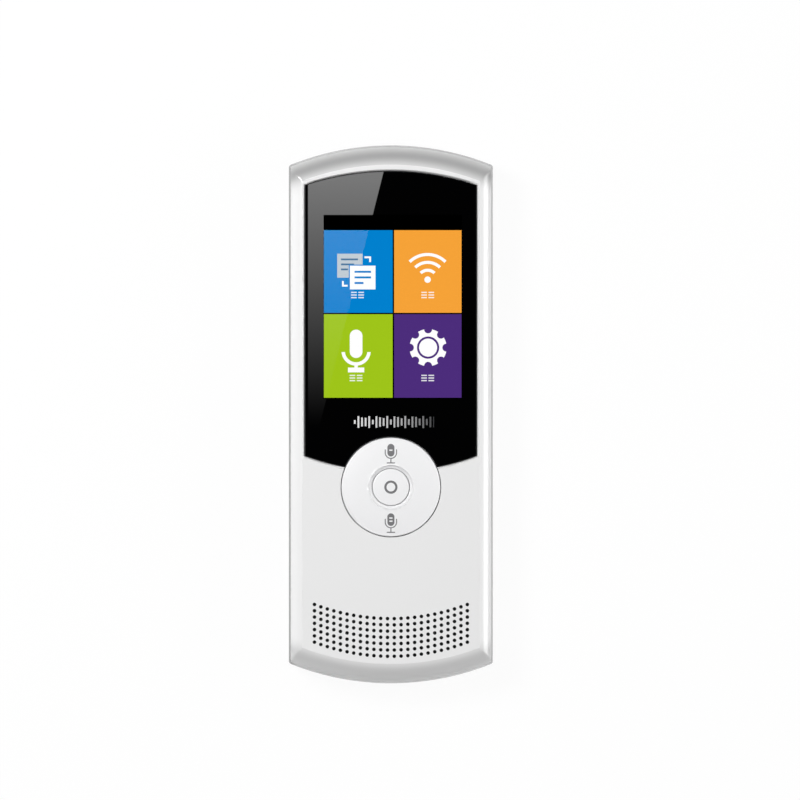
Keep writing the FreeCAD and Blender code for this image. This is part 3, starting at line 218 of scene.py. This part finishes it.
class Term:
    """A shader socket on which Python's operators add Math nodes."""

    def __init__(self, finish, socket):
        self.finish = finish
        self.socket = socket

    def maths(self, operation, *others):
        return self.finish.node("ShaderNodeMath", {"operation": operation}, dict(enumerate((self, *others))))

    def before(self, operation, other):
        return self.finish.node("ShaderNodeMath", {"operation": operation}, {0: other, 1: self})

    def __add__(self, other):
        return self.maths("ADD", other)

    def __radd__(self, other):
        return self.before("ADD", other)

    def __sub__(self, other):
        return self.maths("SUBTRACT", other)

    def __rsub__(self, other):
        return self.before("SUBTRACT", other)

    def __mul__(self, other):
        return self.maths("MULTIPLY", other)

    def __rmul__(self, other):
        return self.before("MULTIPLY", other)

    def __truediv__(self, other):
        return self.maths("DIVIDE", other)

    def __lt__(self, other):
        return self.maths("LESS_THAN", other)

    def __gt__(self, other):
        return self.maths("GREATER_THAN", other)

    def __abs__(self):
        return self.maths("ABSOLUTE")


class Finish:
    """One procedural material, built on its Principled shader."""

    def __init__(self, name):
        self.material = bpy.data.materials.new(name)
        self.material.use_nodes = True
        self.tree = self.material.node_tree
        self.shader = self.tree.nodes["Principled BSDF"]
        self.result = self.tree.nodes["Material Output"]

    def node(self, kind, settings, sockets, output=0):
        made = self.tree.nodes.new(kind)
        for name, value in settings.items():
            setattr(made, name, value)
        for place, value in sockets.items():
            self.feed(made.inputs[place], value)
        return Term(self, made.outputs[output])

    def feed(self, socket, value):
        if isinstance(value, Term):
            self.tree.links.new(value.socket, socket)
        else:
            socket.default_value = value

    def put(self, **sockets):
        """Sets or links the Principled shader's sockets, named with underscores for blanks."""
        for name, value in sockets.items():
            self.feed(self.shader.inputs[name.replace("_", " ")], value)

    def place(self):
        """The point's x, y and z on the object, in millimetres."""
        point = self.node("ShaderNodeTexCoord", {}, {}, "Object")
        return [self.node("ShaderNodeSeparateXYZ", {}, {0: point}, axis) * (1 / MM) for axis in "XYZ"]

    def mix(self, share, low, high):
        """A colour that goes from low to high as share goes from 0 to 1."""
        return self.node("ShaderNodeMix", {"data_type": "RGBA"}, {0: share, 6: low, 7: high}, 2)

    def noise(self, scale, detail=2.0):
        """Fine unevenness between 0 and 1, scale being its cells per metre."""
        point = self.node("ShaderNodeTexCoord", {}, {}, "Object")
        return self.node("ShaderNodeTexNoise", {}, {"Vector": point, "Scale": scale, "Detail": detail}, 0)

    def grain(self, height, strength, depth):
        """A bump from height, depth being the relief in metres."""
        bump = self.node("ShaderNodeBump", {}, {"Strength": strength, "Distance": depth, "Height": height})
        self.put(Normal=bump)


def least(*terms):
    """The nearest of several outlines, which joins them."""
    joined = terms[0]
    for term in terms[1:]:
        joined = joined.maths("MINIMUM", term)
    return joined


def most(*terms):
    """The farthest of several outlines, which keeps what they share."""
    shared = terms[0]
    for term in terms[1:]:
        shared = shared.maths("MAXIMUM", term)
    return shared


def length(x, y):
    """Distance from the origin of x, y."""
    return (x * x + y * y).maths("SQRT")


def disc(x, y, middle_x, middle_y, radius):
    """Distance outside a disc, negative inside, as in all these outlines."""
    return length(x - middle_x, y - middle_y) - radius


def block(x, y, middle_x, middle_y, width, height):
    """Distance outside an upright rectangle."""
    return most(abs(x - middle_x) - width / 2, abs(y - middle_y) - height / 2)


def span(x, y, left, right, top, bottom):
    """Distance outside a rectangle given by its edges in the photograph."""
    return block(x, y, across((left + right) / 2), up((top + bottom) / 2), (right - left) * PIXEL,
                 (bottom - top) * PIXEL)


def capsule(x, y, middle_x, middle_y, width, height):
    """Distance outside an upright rectangle with round ends."""
    over = (abs(y - middle_y) - (height - width) / 2).maths("MAXIMUM", 0)
    return length(x - middle_x, over) - width / 2


def band(outline, width):
    """Distance outside a line of that width drawn along an outline."""
    return abs(outline) - width / 2


def microphone(x, y, middle_x, middle_y, head, reach, drop, rise, line, foot):
    """A microphone sign about its capsule's middle. head is the capsule's width and height; the
    cradle's arc has the radius reach, its middle lies drop below and its arms end at rise; foot is
    the bar's width, thickness and depth below the middle."""
    capsule_form = capsule(x, y, middle_x, middle_y, *head)
    around = capsule(x, y, middle_x, middle_y, reach * 2, (reach + drop) * 2)
    cradle = most(band(around, line), y - middle_y - rise)
    bottom = middle_y - drop - reach
    stem_length = bottom - (middle_y - foot[2])
    stem = block(x, y, middle_x, bottom - stem_length / 2, line, stem_length)
    bar = block(x, y, middle_x, middle_y - foot[2], foot[0], foot[1])
    return least(capsule_form, cradle, stem, bar)


def select_none():
    if bpy.context.object and bpy.context.object.mode != "OBJECT":
        bpy.ops.object.mode_set(mode="OBJECT")
    bpy.ops.object.select_all(action="DESELECT")


def body_named(node):
    """The moving body that a node belongs to."""
    for body, nodes in frame["record"]["behaviour"]["bodies"].items():
        if node in nodes:
            return body
    raise RuntimeError("no body holds " + node)


def slot_of(node):
    """The record's material slot of a node."""
    for entry in frame["record"]["subparts"]:
        if entry["node"] == node:
            return entry["material_slot"]
    raise RuntimeError("no slot for " + node)


def smooth_shape(node, angle, flat_levels=()):
    """A merged copy of a solid with soft shading over its curves. Edges round the flat faces at
    flat_levels stay crisp."""
    select_none()
    source = frame["nodes"][node]
    source.hide_set(False)
    source.select_set(True)
    bpy.context.view_layer.objects.active = source
    bpy.ops.object.duplicate()
    shape = bpy.context.object
    shape.name = node + "_shape"
    for key in list(shape.keys()):
        del shape[key]
    bpy.ops.object.parent_clear(type="CLEAR_KEEP_TRANSFORM")
    bpy.ops.object.mode_set(mode="EDIT")
    bpy.ops.mesh.select_all(action="SELECT")
    bpy.ops.mesh.remove_doubles(threshold=1e-7)
    bpy.ops.mesh.select_all(action="DESELECT")
    for level in flat_levels:
        bpy.ops.object.mode_set(mode="OBJECT")
        for face in shape.data.polygons:
            face.select = abs(face.normal.z) > 0.9999 and abs(face.center.z - level) < 1e-6
        bpy.ops.object.mode_set(mode="EDIT")
        bpy.ops.mesh.select_mode(type="FACE")
        bpy.ops.mesh.region_to_loop()
        bpy.ops.mesh.mark_sharp()
        bpy.ops.mesh.select_all(action="DESELECT")
    bpy.ops.object.mode_set(mode="OBJECT")
    bpy.ops.object.shade_smooth_by_angle(angle=math.radians(angle), keep_sharp_edges=True)
    bpy.ops.object.modifier_add(type="WEIGHTED_NORMAL")
    shape.modifiers[-1].keep_sharp = True
    bpy.ops.object.modifier_apply(modifier=shape.modifiers[-1].name)
    shape.data.materials.clear()
    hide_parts(node)
    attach(shape, body_named(node))
    return shape


def dress(shape, finish):
    shape.data.materials.clear()
    shape.data.materials.append(finish.material)


def housing_finish(name, level, upward):
    """White plastic: satin on the flat face at level, glossier on the rolled edges, with painted shade across
    the rolled ends, along the outer edge and on the walls of the grille's holes in the front.
    """
    look = bpy.context.scene.translator_housing
    finish = Finish(name)
    x, y, height = finish.place()
    on_face = height > level - FACE_MARGIN if upward else height < level + FACE_MARGIN
    half_width = -DEVICE_LEFT / MM
    half_length = -DEVICE_FRONT / MM
    from_end = half_length - length(x, y)
    from_side = half_width - abs(x)
    past_corner = (from_side - from_end * (SIDE_ROLL / END_ROLL)) * CORNER_BLEND
    at_end = past_corner.maths("MAXIMUM", 0).maths("MINIMUM", 1)
    # Painted shade: a dark band across each rolled end, paler, narrower and further in at the lower end, in
    # place of the shade that the ends fall into.
    lower = y < 0
    spread = (from_end - BAND_PLACE - lower * LOWER_BAND_SHIFT) / (BAND_WIDTH - lower * LOWER_BAND_NARROWER)
    depth = look.painted_end_shade * (1 - lower * LOWER_BAND_PALER)
    painted_band_shade = (0 - spread * spread).maths("EXPONENT") * depth
    # Painted shade: a darker line along the outermost half millimetre of the edge, darker still along the
    # left side and paler at the lower end, in place of the shade on the edge as it turns away.
    outer = least(from_end, from_side) < EDGE_LINE
    painted_edge_shade = PAINTED_EDGE_SHADE + (x < 0) * (1 - at_end) * LEFT_EDGE_DARKER - lower * at_end * LOWER_EDGE_PALER
    shade = painted_band_shade.maths("MAXIMUM", outer * painted_edge_shade)
    # Painted shade: the rolled edges go towards dark grey by the painted band and edge line.
    rim = finish.mix(shade, look.rim_colour, PAINTED_RIM_SHADE)
    colour = finish.mix(on_face, rim, look.face_colour)
    if upward:
        # Painted shade: the walls of the grille's holes are coloured near black for the shade inside them.
        in_grille = (from_end > END_ROLL + 0.2) * (y < up(GRILLE_ROW)) * (from_side > SIDE_ROLL + 1)
        painted_hole_shade_mask = (height < level - HOLE_MARGIN) * in_grille
        colour = finish.mix(painted_hole_shade_mask, colour, PAINTED_HOLE_SHADE)
    uneven = finish.noise(900)
    finish.put(
        Base_Color=colour,
        Roughness=look.rim_roughness + on_face * (look.face_roughness - look.rim_roughness) + uneven * 0.04,
        Coat_Weight=0.3 - outer * 0.3, Coat_Roughness=0.1)
    finish.grain(uneven, 0.02, 0.00001)
    return finish


class TRANSLATOR_OT_housing(bpy.types.Operator):
    """Shapes and finishes the front and back of the housing"""
    bl_idname = "translator.housing"
    bl_label = "Housing"

    def execute(self, context):
        front = smooth_shape("front_shell", 24, (DEVICE_TOP,))
        dress(front, housing_finish("housing_front", DEVICE_TOP / MM, True))
        back = smooth_shape("back_shell", 24, (0.0,))
        dress(back, housing_finish("housing_back", 0.0, False))
        return {"FINISHED"}


def sign_finish(name, outline, look):
    """Key plastic with a sign printed where the outline given by a function is negative."""
    finish = Finish(name)
    x, y = finish.place()[:2]
    printed = outline(x, y) < 0
    uneven = finish.noise(1200)
    finish.put(
        Base_Color=finish.mix(printed, look.colour, look.sign_colour),
        Roughness=look.roughness + uneven * 0.06, Coat_Weight=0.2, Coat_Roughness=0.15)
    finish.grain(uneven, 0.03, 0.00002)
    return finish


def ring_signs(x, y):
    """Two microphone signs, one above and one below the middle, told apart by one bar or two."""
    signs = []
    for row, bar_rows in ((KEY_Y + 9.85, (0,)), (KEY_Y - 8.65, (-0.42, 0.42))):
        sign = microphone(x, y, 0, row, **KEY_SIGNS)
        bars = least(*[block(x, y, 0, row + rise, 0.85, 0.36) for rise in bar_rows])
        signs.append(most(sign, 0 - bars))
    return least(*signs)


def centre_sign(x, y):
    """The round sign in the middle of the centre key."""
    return band(disc(x, y, 0, KEY_Y, 1.46), 0.6)


class TRANSLATOR_OT_keys(bpy.types.Operator):
    """Shapes the rocker and its centre key and prints their signs"""
    bl_idname = "translator.keys"
    bl_label = "Keys"

    def execute(self, context):
        look = context.scene.translator_keys
        dress(smooth_shape("ring_key", 12), sign_finish("rocker_plastic", ring_signs, look))
        dress(smooth_shape("centre_key", 12), sign_finish("centre_plastic", centre_sign, look))
        return {"FINISHED"}


class TRANSLATOR_OT_glass(bpy.types.Operator):
    """Prints the cover glass black round its window, with a row of level bars below it"""
    bl_idname = "translator.glass"
    bl_label = "Cover glass"

    def execute(self, context):
        look = context.scene.translator_glass
        finish = Finish("cover_glass")
        x, y, height = finish.place()
        left, right, row = across(BAR_ENDS[0]), across(BAR_ENDS[1]), up(BAR_ROW)
        step = (x - left) / look.bar_pitch
        index = step.maths("FLOOR")
        tall = abs((index * 1.9).maths("SINE")) * 1.1 + 0.5
        bars = most(abs(step - index - 0.5) - 0.24, abs(y - row) - tall, left - x, x - right)
        printed = bars < 0
        fading = ((x - left) / (right - left)).maths("POWER", 1.4)
        ink = finish.mix(fading, linear(225, 225, 225), linear(60, 60, 62))
        window = block(x, y, (PANEL_LOW[0] + PANEL_HIGH[0]) / 2 / MM, up(WINDOW_ROW), *WINDOW_SIZE) < 0
        finish.put(Base_Color=finish.mix(printed, look.black, ink), Roughness=0.004, IOR=1.5)
        outer_face = height > (GLASS_LOW[2] + GLASS_HIGH[2]) / 2 / MM
        clear = finish.node("ShaderNodeBsdfPrincipled", {}, {
            "Base Color": BLACK, "Roughness": 0.0, "IOR": 2.6,
            "Alpha": outer_face * (y < up(TILE_ROWS[0][0])) * 0.07})
        both = finish.node("ShaderNodeMixShader", {}, {
            0: window, 1: Term(finish, finish.shader.outputs[0]), 2: clear})
        finish.feed(finish.result.inputs["Surface"], both)
        dress(frame["nodes"]["cover_lens"], finish)
        touch = Finish("touch_glass")
        touch.put(Base_Color=(0.9, 0.95, 1, 1), Roughness=0.02, Alpha=0.0, Specular_IOR_Level=0.0)
        dress(frame["nodes"]["touch_panel"], touch)
        return {"FINISHED"}


def radio_sign(x, y, middle_x, foot_y, radii=(2.6, 4.7, 6.8), line=0.8, dot=0.85):
    """A dot under three widening arcs."""
    beam = abs(x - middle_x) * 1.02 - (y - foot_y)
    arcs = [most(band(disc(x, y, middle_x, foot_y, radius), line), beam) for radius in radii]
    return least(disc(x, y, middle_x, foot_y + 0.1, dot), *arcs)


def gear_sign(x, y, middle_x, middle_y, reach=4.95, notch_place=4.85, notch_radius=1.05, line_place=2.68,
              line=0.56):
    """A gear of eight teeth parted by round notches, with a ring line cut into it."""
    from_middle = length(x - middle_x, y - middle_y)
    eighths = (y - middle_y).maths("ARCTAN2", x - middle_x) * (4 / math.pi)
    angle = ((eighths + 0.5).maths("FLOORED_MODULO", 1) - 0.5) * (math.pi / 4)
    along = from_middle * angle.maths("COSINE")
    aside = from_middle * angle.maths("SINE")
    notch = disc(along, aside, notch_place, 0, notch_radius)
    ring = band(from_middle - line_place, line)
    return most(from_middle - reach, 0 - notch, 0 - ring)


def label_marks(x, y, middle_px, row_px):
    """Two small striped blocks in the place of a label."""
    stripes = []
    for side in (middle_px - 3.6, middle_px + 3.6):
        for row in (row_px - 2.6, row_px, row_px + 2.6):
            stripes.append(span(x, y, side - 2.8, side + 2.8, row - 0.6, row + 0.6))
    return least(*stripes)


class TRANSLATOR_OT_screen(bpy.types.Operator):
    """Lights the screen with four tiles and their signs"""
    bl_idname = "translator.screen"
    bl_label = "Screen"

    def execute(self, context):
        look = context.scene.translator_screen
        finish = Finish("lit_screen")
        x, y = finish.place()[:2]
        picture = BLACK
        tiles = iter((look.blue, look.orange, look.green, look.purple))
        for rows in TILE_ROWS:
            for columns in TILE_COLUMNS:
                picture = finish.mix(span(x, y, *columns, *rows) < 0, picture, next(tiles))
        back_card = span(x, y, 337.2, 362.6, 253.7, 277.7)
        picture = finish.mix(back_card < 0, picture, linear(190, 200, 208))
        back_lines = least(*[span(x, y, 341, 341 + width, row, row + 1.8)
                             for row, width in ((258.5, 17), (263.5, 13), (268.5, 7))])
        picture = finish.mix(back_lines < 0, picture, linear(60, 110, 150))
        front_card = span(x, y, 349.9, 375.5, 265.7, 289.4)
        picture = finish.mix(front_card - 0.3 < 0, picture, look.blue)
        arrows = least(
            span(x, y, 364.5, 371, 256.4, 258.2), span(x, y, 369.2, 371, 256.4, 262),
            span(x, y, 342, 343.8, 281, 286.6), span(x, y, 342, 347.6, 284.8, 286.6))
        white = least(
            front_card, arrows,
            radio_sign(x, y, across(427.6), up(280)),
            microphone(x, y, across(356.1), up(343.8), **TILE_SIGN),
            gear_sign(x, y, across(428.1), up(347.6)))
        picture = finish.mix(white < 0, picture, WHITE)
        labels = least(label_marks(x, y, 357.5, 295), label_marks(x, y, 427.7, 295),
                       label_marks(x, y, 356, 378), label_marks(x, y, 427.7, 378))
        picture = finish.mix((labels < 0) * 0.75, picture, WHITE)
        front_lines = least(*[span(x, y, 354.5, 354.5 + width, row, row + 2)
                              for row, width in ((270.8, 16.5), (276.4, 16.5), (282, 9))])
        picture = finish.mix(front_lines < 0, picture, look.blue)
        finish.put(Base_Color=BLACK, Roughness=0.6, Specular_IOR_Level=0.0,
                   Emission_Color=picture, Emission_Strength=look.brightness)
        dress(frame["nodes"]["lcd_panel"], finish)
        return {"FINISHED"}


class TRANSLATOR_OT_inside(bpy.types.Operator):
    """Finishes every other piece after the record's material slots"""
    bl_idname = "translator.inside"
    bl_label = "Inner pieces"

    def execute(self, context):
        dressed = {
            "front_shell", "back_shell", "ring_key", "centre_key", "cover_lens", "touch_panel", "lcd_panel"}
        relief = {
            "light_guide": (0.35, 0.0, 400),
            "pressed_steel": (0.34, 1.0, 2600),
            "steel_screw": (0.4, 1.0, 3000),
            "foam_tape": (0.9, 0.0, 5200),
            "flex_film": (0.42, 0.0, 1500),
            "carrier_plastic": (0.55, 0.0, 2400),
            "dome_steel": (0.22, 1.0, 2600),
            "clear_film": (0.2, 0.0, 900),
            "circuit_board": (0.48, 0.0, 2100),
            "chip_black": (0.6, 0.0, 3800),
            "ceramic_part": (0.5, 0.0, 3200),
            "cell_pouch": (0.3, 0.9, 1300),
            "wire_cover": (0.45, 0.0, 1800),
            "socket_plastic": (0.5, 0.0, 2400),
            "cone_film": (0.5, 0.0, 1700),
            "magnet_steel": (0.4, 1.0, 2600),
            "grille_cloth": (0.95, 0.0, 5600),
            "mic_case": (0.32, 1.0, 2600),
            "boot_rubber": (0.8, 0.0, 2600),
        }
        colours = {entry["slot"]: entry["base_color"] for entry in frame["record"]["materials"]}
        finishes = {}
        for slot, (roughness, metallic, scale) in relief.items():
            finish = Finish(slot)
            uneven = finish.noise(scale)
            red, green, blue = colours[slot][:3]
            shade = (red * 0.82, green * 0.82, blue * 0.82, 1)
            finish.put(Base_Color=finish.mix(uneven, shade, (red, green, blue, 1)),
                       Roughness=roughness - 0.05 + uneven * 0.1, Metallic=metallic)
            finish.grain(uneven, 0.12, 0.00002)
            finishes[slot] = finish
        # Painted shade: the grille cloth behind the holes is made near black and without sheen, for the shade
        # inside the holes.
        finishes["grille_cloth"].put(Base_Color=PAINTED_HOLE_SHADE, Specular_IOR_Level=0.0)
        for node, shape in frame["nodes"].items():
            if node not in dressed:
                dress(shape, finishes[slot_of(node)])
        return {"FINISHED"}


def flat_card(name, width, depth, place):
    """A flat sheet for the stage."""
    select_none()
    bpy.ops.mesh.primitive_plane_add(size=1, location=place)
    card = bpy.context.object
    card.name = name
    card.scale = (width, depth, 1)
    bpy.ops.object.transform_apply(location=False, rotation=False, scale=True)
    return card


def only_mirrored(card):
    """Leaves a card to be seen in reflections and through clear pieces only."""
    card.visible_camera = False
    card.visible_diffuse = False
    card.visible_shadow = False
    card.visible_volume_scatter = False


class TRANSLATOR_OT_stage(bpy.types.Operator):
    """Sets the floor, lamps, reflection cards and camera"""
    bl_idname = "translator.stage"
    bl_label = "Stage"

    def execute(self, context):
        look = context.scene.translator_stage
        scene = context.scene
        scene.view_settings.view_transform = "Standard"
        floor = flat_card("floor", 6, 6, (0, 0, -FLOOR_DROP))
        pale = Finish("floor_white")
        pale.put(Base_Color=(0.9, 0.9, 0.9, 1), Roughness=0.9)
        seen = least(pale.node("ShaderNodeLightPath", {}, {}, "Is Camera Ray")
                     + pale.node("ShaderNodeLightPath", {}, {}, "Is Glossy Ray")
                     + pale.node("ShaderNodeLightPath", {}, {}, "Is Transmission Ray"), 1)
        glow = pale.node("ShaderNodeEmission", {}, {"Color": WHITE, "Strength": 1.0})
        surface = pale.node("ShaderNodeMixShader", {}, {
            0: seen * FLOOR_GLOW, 1: Term(pale, pale.shader.outputs[0]), 2: glow})
        pale.feed(pale.result.inputs["Surface"], surface)
        dress(floor, pale)
        flag = flat_card("dark_flag", 0.34, 0.34, (0, 0, FLAG_HEIGHT))
        dark = Finish("flag_black")
        dark.put(Base_Color=BLACK, Roughness=1.0, Specular_IOR_Level=0.0)
        dress(flag, dark)
        only_mirrored(flag)
        glare = flat_card("glare_card", 1, 1, (0, 0, GLARE_HEIGHT))
        corners = {(-1, -1): (308, 446), (1, -1): (314.5, 446), (1, 1): (386.5, 160), (-1, 1): (308, 160)}
        for vertex in glare.data.vertices:
            side = (1 if vertex.co.x > 0 else -1, 1 if vertex.co.y > 0 else -1)
            px, row = corners[side]
            vertex.co = Vector((across(px) * MM, up(row) * MM, 0))
        bright = Finish("glare_white")
        rise = bright.place()[1]
        low, high = up(GLARE_ROWS[0]), up(GLARE_ROWS[1])
        share = ((rise - low) / (high - low)).maths("MAXIMUM", 0).maths("POWER", 1.6)
        bright.put(Base_Color=BLACK, Emission_Color=bright.mix(share, BLACK, WHITE),
                   Emission_Strength=look.glare, Specular_IOR_Level=0.0)
        dress(glare, bright)
        only_mirrored(glare)
        for side in (-1, 1):
            shining = Finish("side_card_white")
            shining.put(Base_Color=BLACK, Emission_Color=WHITE, Specular_IOR_Level=0.0,
                        Emission_Strength=look.side_cards * (1 + side * CARD_DIFFERENCE))
            card = flat_card("side_card", 0.38, 0.5, (0, 0, 0))
            card.rotation_euler = (0, math.radians(90), 0)
            card.location = (CARD_PLACE[0] * side, CARD_PLACE[1], CARD_PLACE[2])
            dress(card, shining)
            only_mirrored(card)
        lamps = [
            ("overhead_lamp", (0, 0, 1.2), 0.9, 0.5, look.overhead),
            ("key_lamp", (-0.46, 0.3, 0.68), 0.3, 0.3, look.key_light),
            ("left_lamp", (-0.8, 0, 0.3), 0.9, 0.4, look.side_light * 0.1),
            ("right_lamp", (0.8, 0, 0.3), 0.9, 0.4, look.side_light * 2.4),
        ]
        for name, place, width, height, watts in lamps:
            select_none()
            bpy.ops.object.light_add(type="AREA", location=place)
            lamp = context.object
            lamp.name = name
            lamp.data.shape = "RECTANGLE"
            lamp.data.size = width
            lamp.data.size_y = height
            lamp.data.energy = watts
            lamp.rotation_euler = (-Vector(place)).to_track_quat("-Z", "Y").to_euler()
            lamp.visible_camera = False
            lamp.visible_glossy = name != "overhead_lamp"
        world = bpy.data.worlds.new("studio")
        scene.world = world
        world.use_nodes = True
        nodes = world.node_tree.nodes
        nodes.clear()
        path = nodes.new("ShaderNodeLightPath")
        shown = nodes.new("ShaderNodeMath")
        shown.operation = "ADD"
        mirrored = nodes.new("ShaderNodeMath")
        mirrored.operation = "ADD"
        mirrored.use_clamp = True
        strength = nodes.new("ShaderNodeMath")
        strength.operation = "MULTIPLY_ADD"
        strength.inputs[1].default_value = 1 - look.room
        strength.inputs[2].default_value = look.room
        back = nodes.new("ShaderNodeBackground")
        out = nodes.new("ShaderNodeOutputWorld")
        link = world.node_tree.links.new
        link(path.outputs["Is Camera Ray"], shown.inputs[0])
        link(path.outputs["Is Transmission Ray"], shown.inputs[1])
        link(shown.outputs[0], mirrored.inputs[0])
        link(path.outputs["Is Glossy Ray"], mirrored.inputs[1])
        link(mirrored.outputs[0], strength.inputs[0])
        link(strength.outputs[0], back.inputs["Strength"])
        link(back.outputs[0], out.inputs["Surface"])
        select_none()
        middle = (across(PICTURE / 2) * MM, up(PICTURE / 2) * MM, CAMERA_HEIGHT)
        bpy.ops.object.camera_add(location=middle, rotation=(0, 0, 0))
        camera = context.object
        camera.name = "camera"
        camera.data.type = "ORTHO"
        camera.data.ortho_scale = PICTURE * PIXEL * MM
        scene.camera = camera
        return {"FINISHED"}


class TRANSLATOR_PT_panel(bpy.types.Panel):
    bl_label = "Handheld translator"
    bl_idname = "TRANSLATOR_PT_panel"
    bl_space_type = "VIEW_3D"
    bl_region_type = "UI"
    bl_category = "Translator"

    def draw(self, context):
        for operator in OPERATORS:
            self.layout.operator(operator.bl_idname)
        for name in LOOKS:
            look = getattr(context.scene, name)
            for entry in look.bl_rna.properties:
                if entry.identifier not in ("rna_type", "name"):
                    self.layout.prop(look, entry.identifier)


OPERATORS = (TRANSLATOR_OT_housing, TRANSLATOR_OT_keys, TRANSLATOR_OT_glass, TRANSLATOR_OT_screen,
             TRANSLATOR_OT_inside, TRANSLATOR_OT_stage)
LOOKS = {
    "translator_housing": HousingLook,
    "translator_keys": KeyLook,
    "translator_glass": GlassLook,
    "translator_screen": ScreenLook,
    "translator_stage": StageLook,
}


def register():
    for name, look in LOOKS.items():
        bpy.utils.register_class(look)
        setattr(bpy.types.Scene, name, PointerProperty(type=look))
    for operator in OPERATORS:
        bpy.utils.register_class(operator)
    bpy.utils.register_class(TRANSLATOR_PT_panel)


def unregister():
    bpy.utils.unregister_class(TRANSLATOR_PT_panel)
    for operator in reversed(OPERATORS):
        bpy.utils.unregister_class(operator)
    for name, look in LOOKS.items():
        delattr(bpy.types.Scene, name)
        bpy.utils.unregister_class(look)


def main():
    register()
    bpy.ops.translator.housing()
    bpy.ops.translator.keys()
    bpy.ops.translator.glass()
    bpy.ops.translator.screen()
    bpy.ops.translator.inside()
    bpy.ops.translator.stage()


if __name__ == "__main__":
    main()
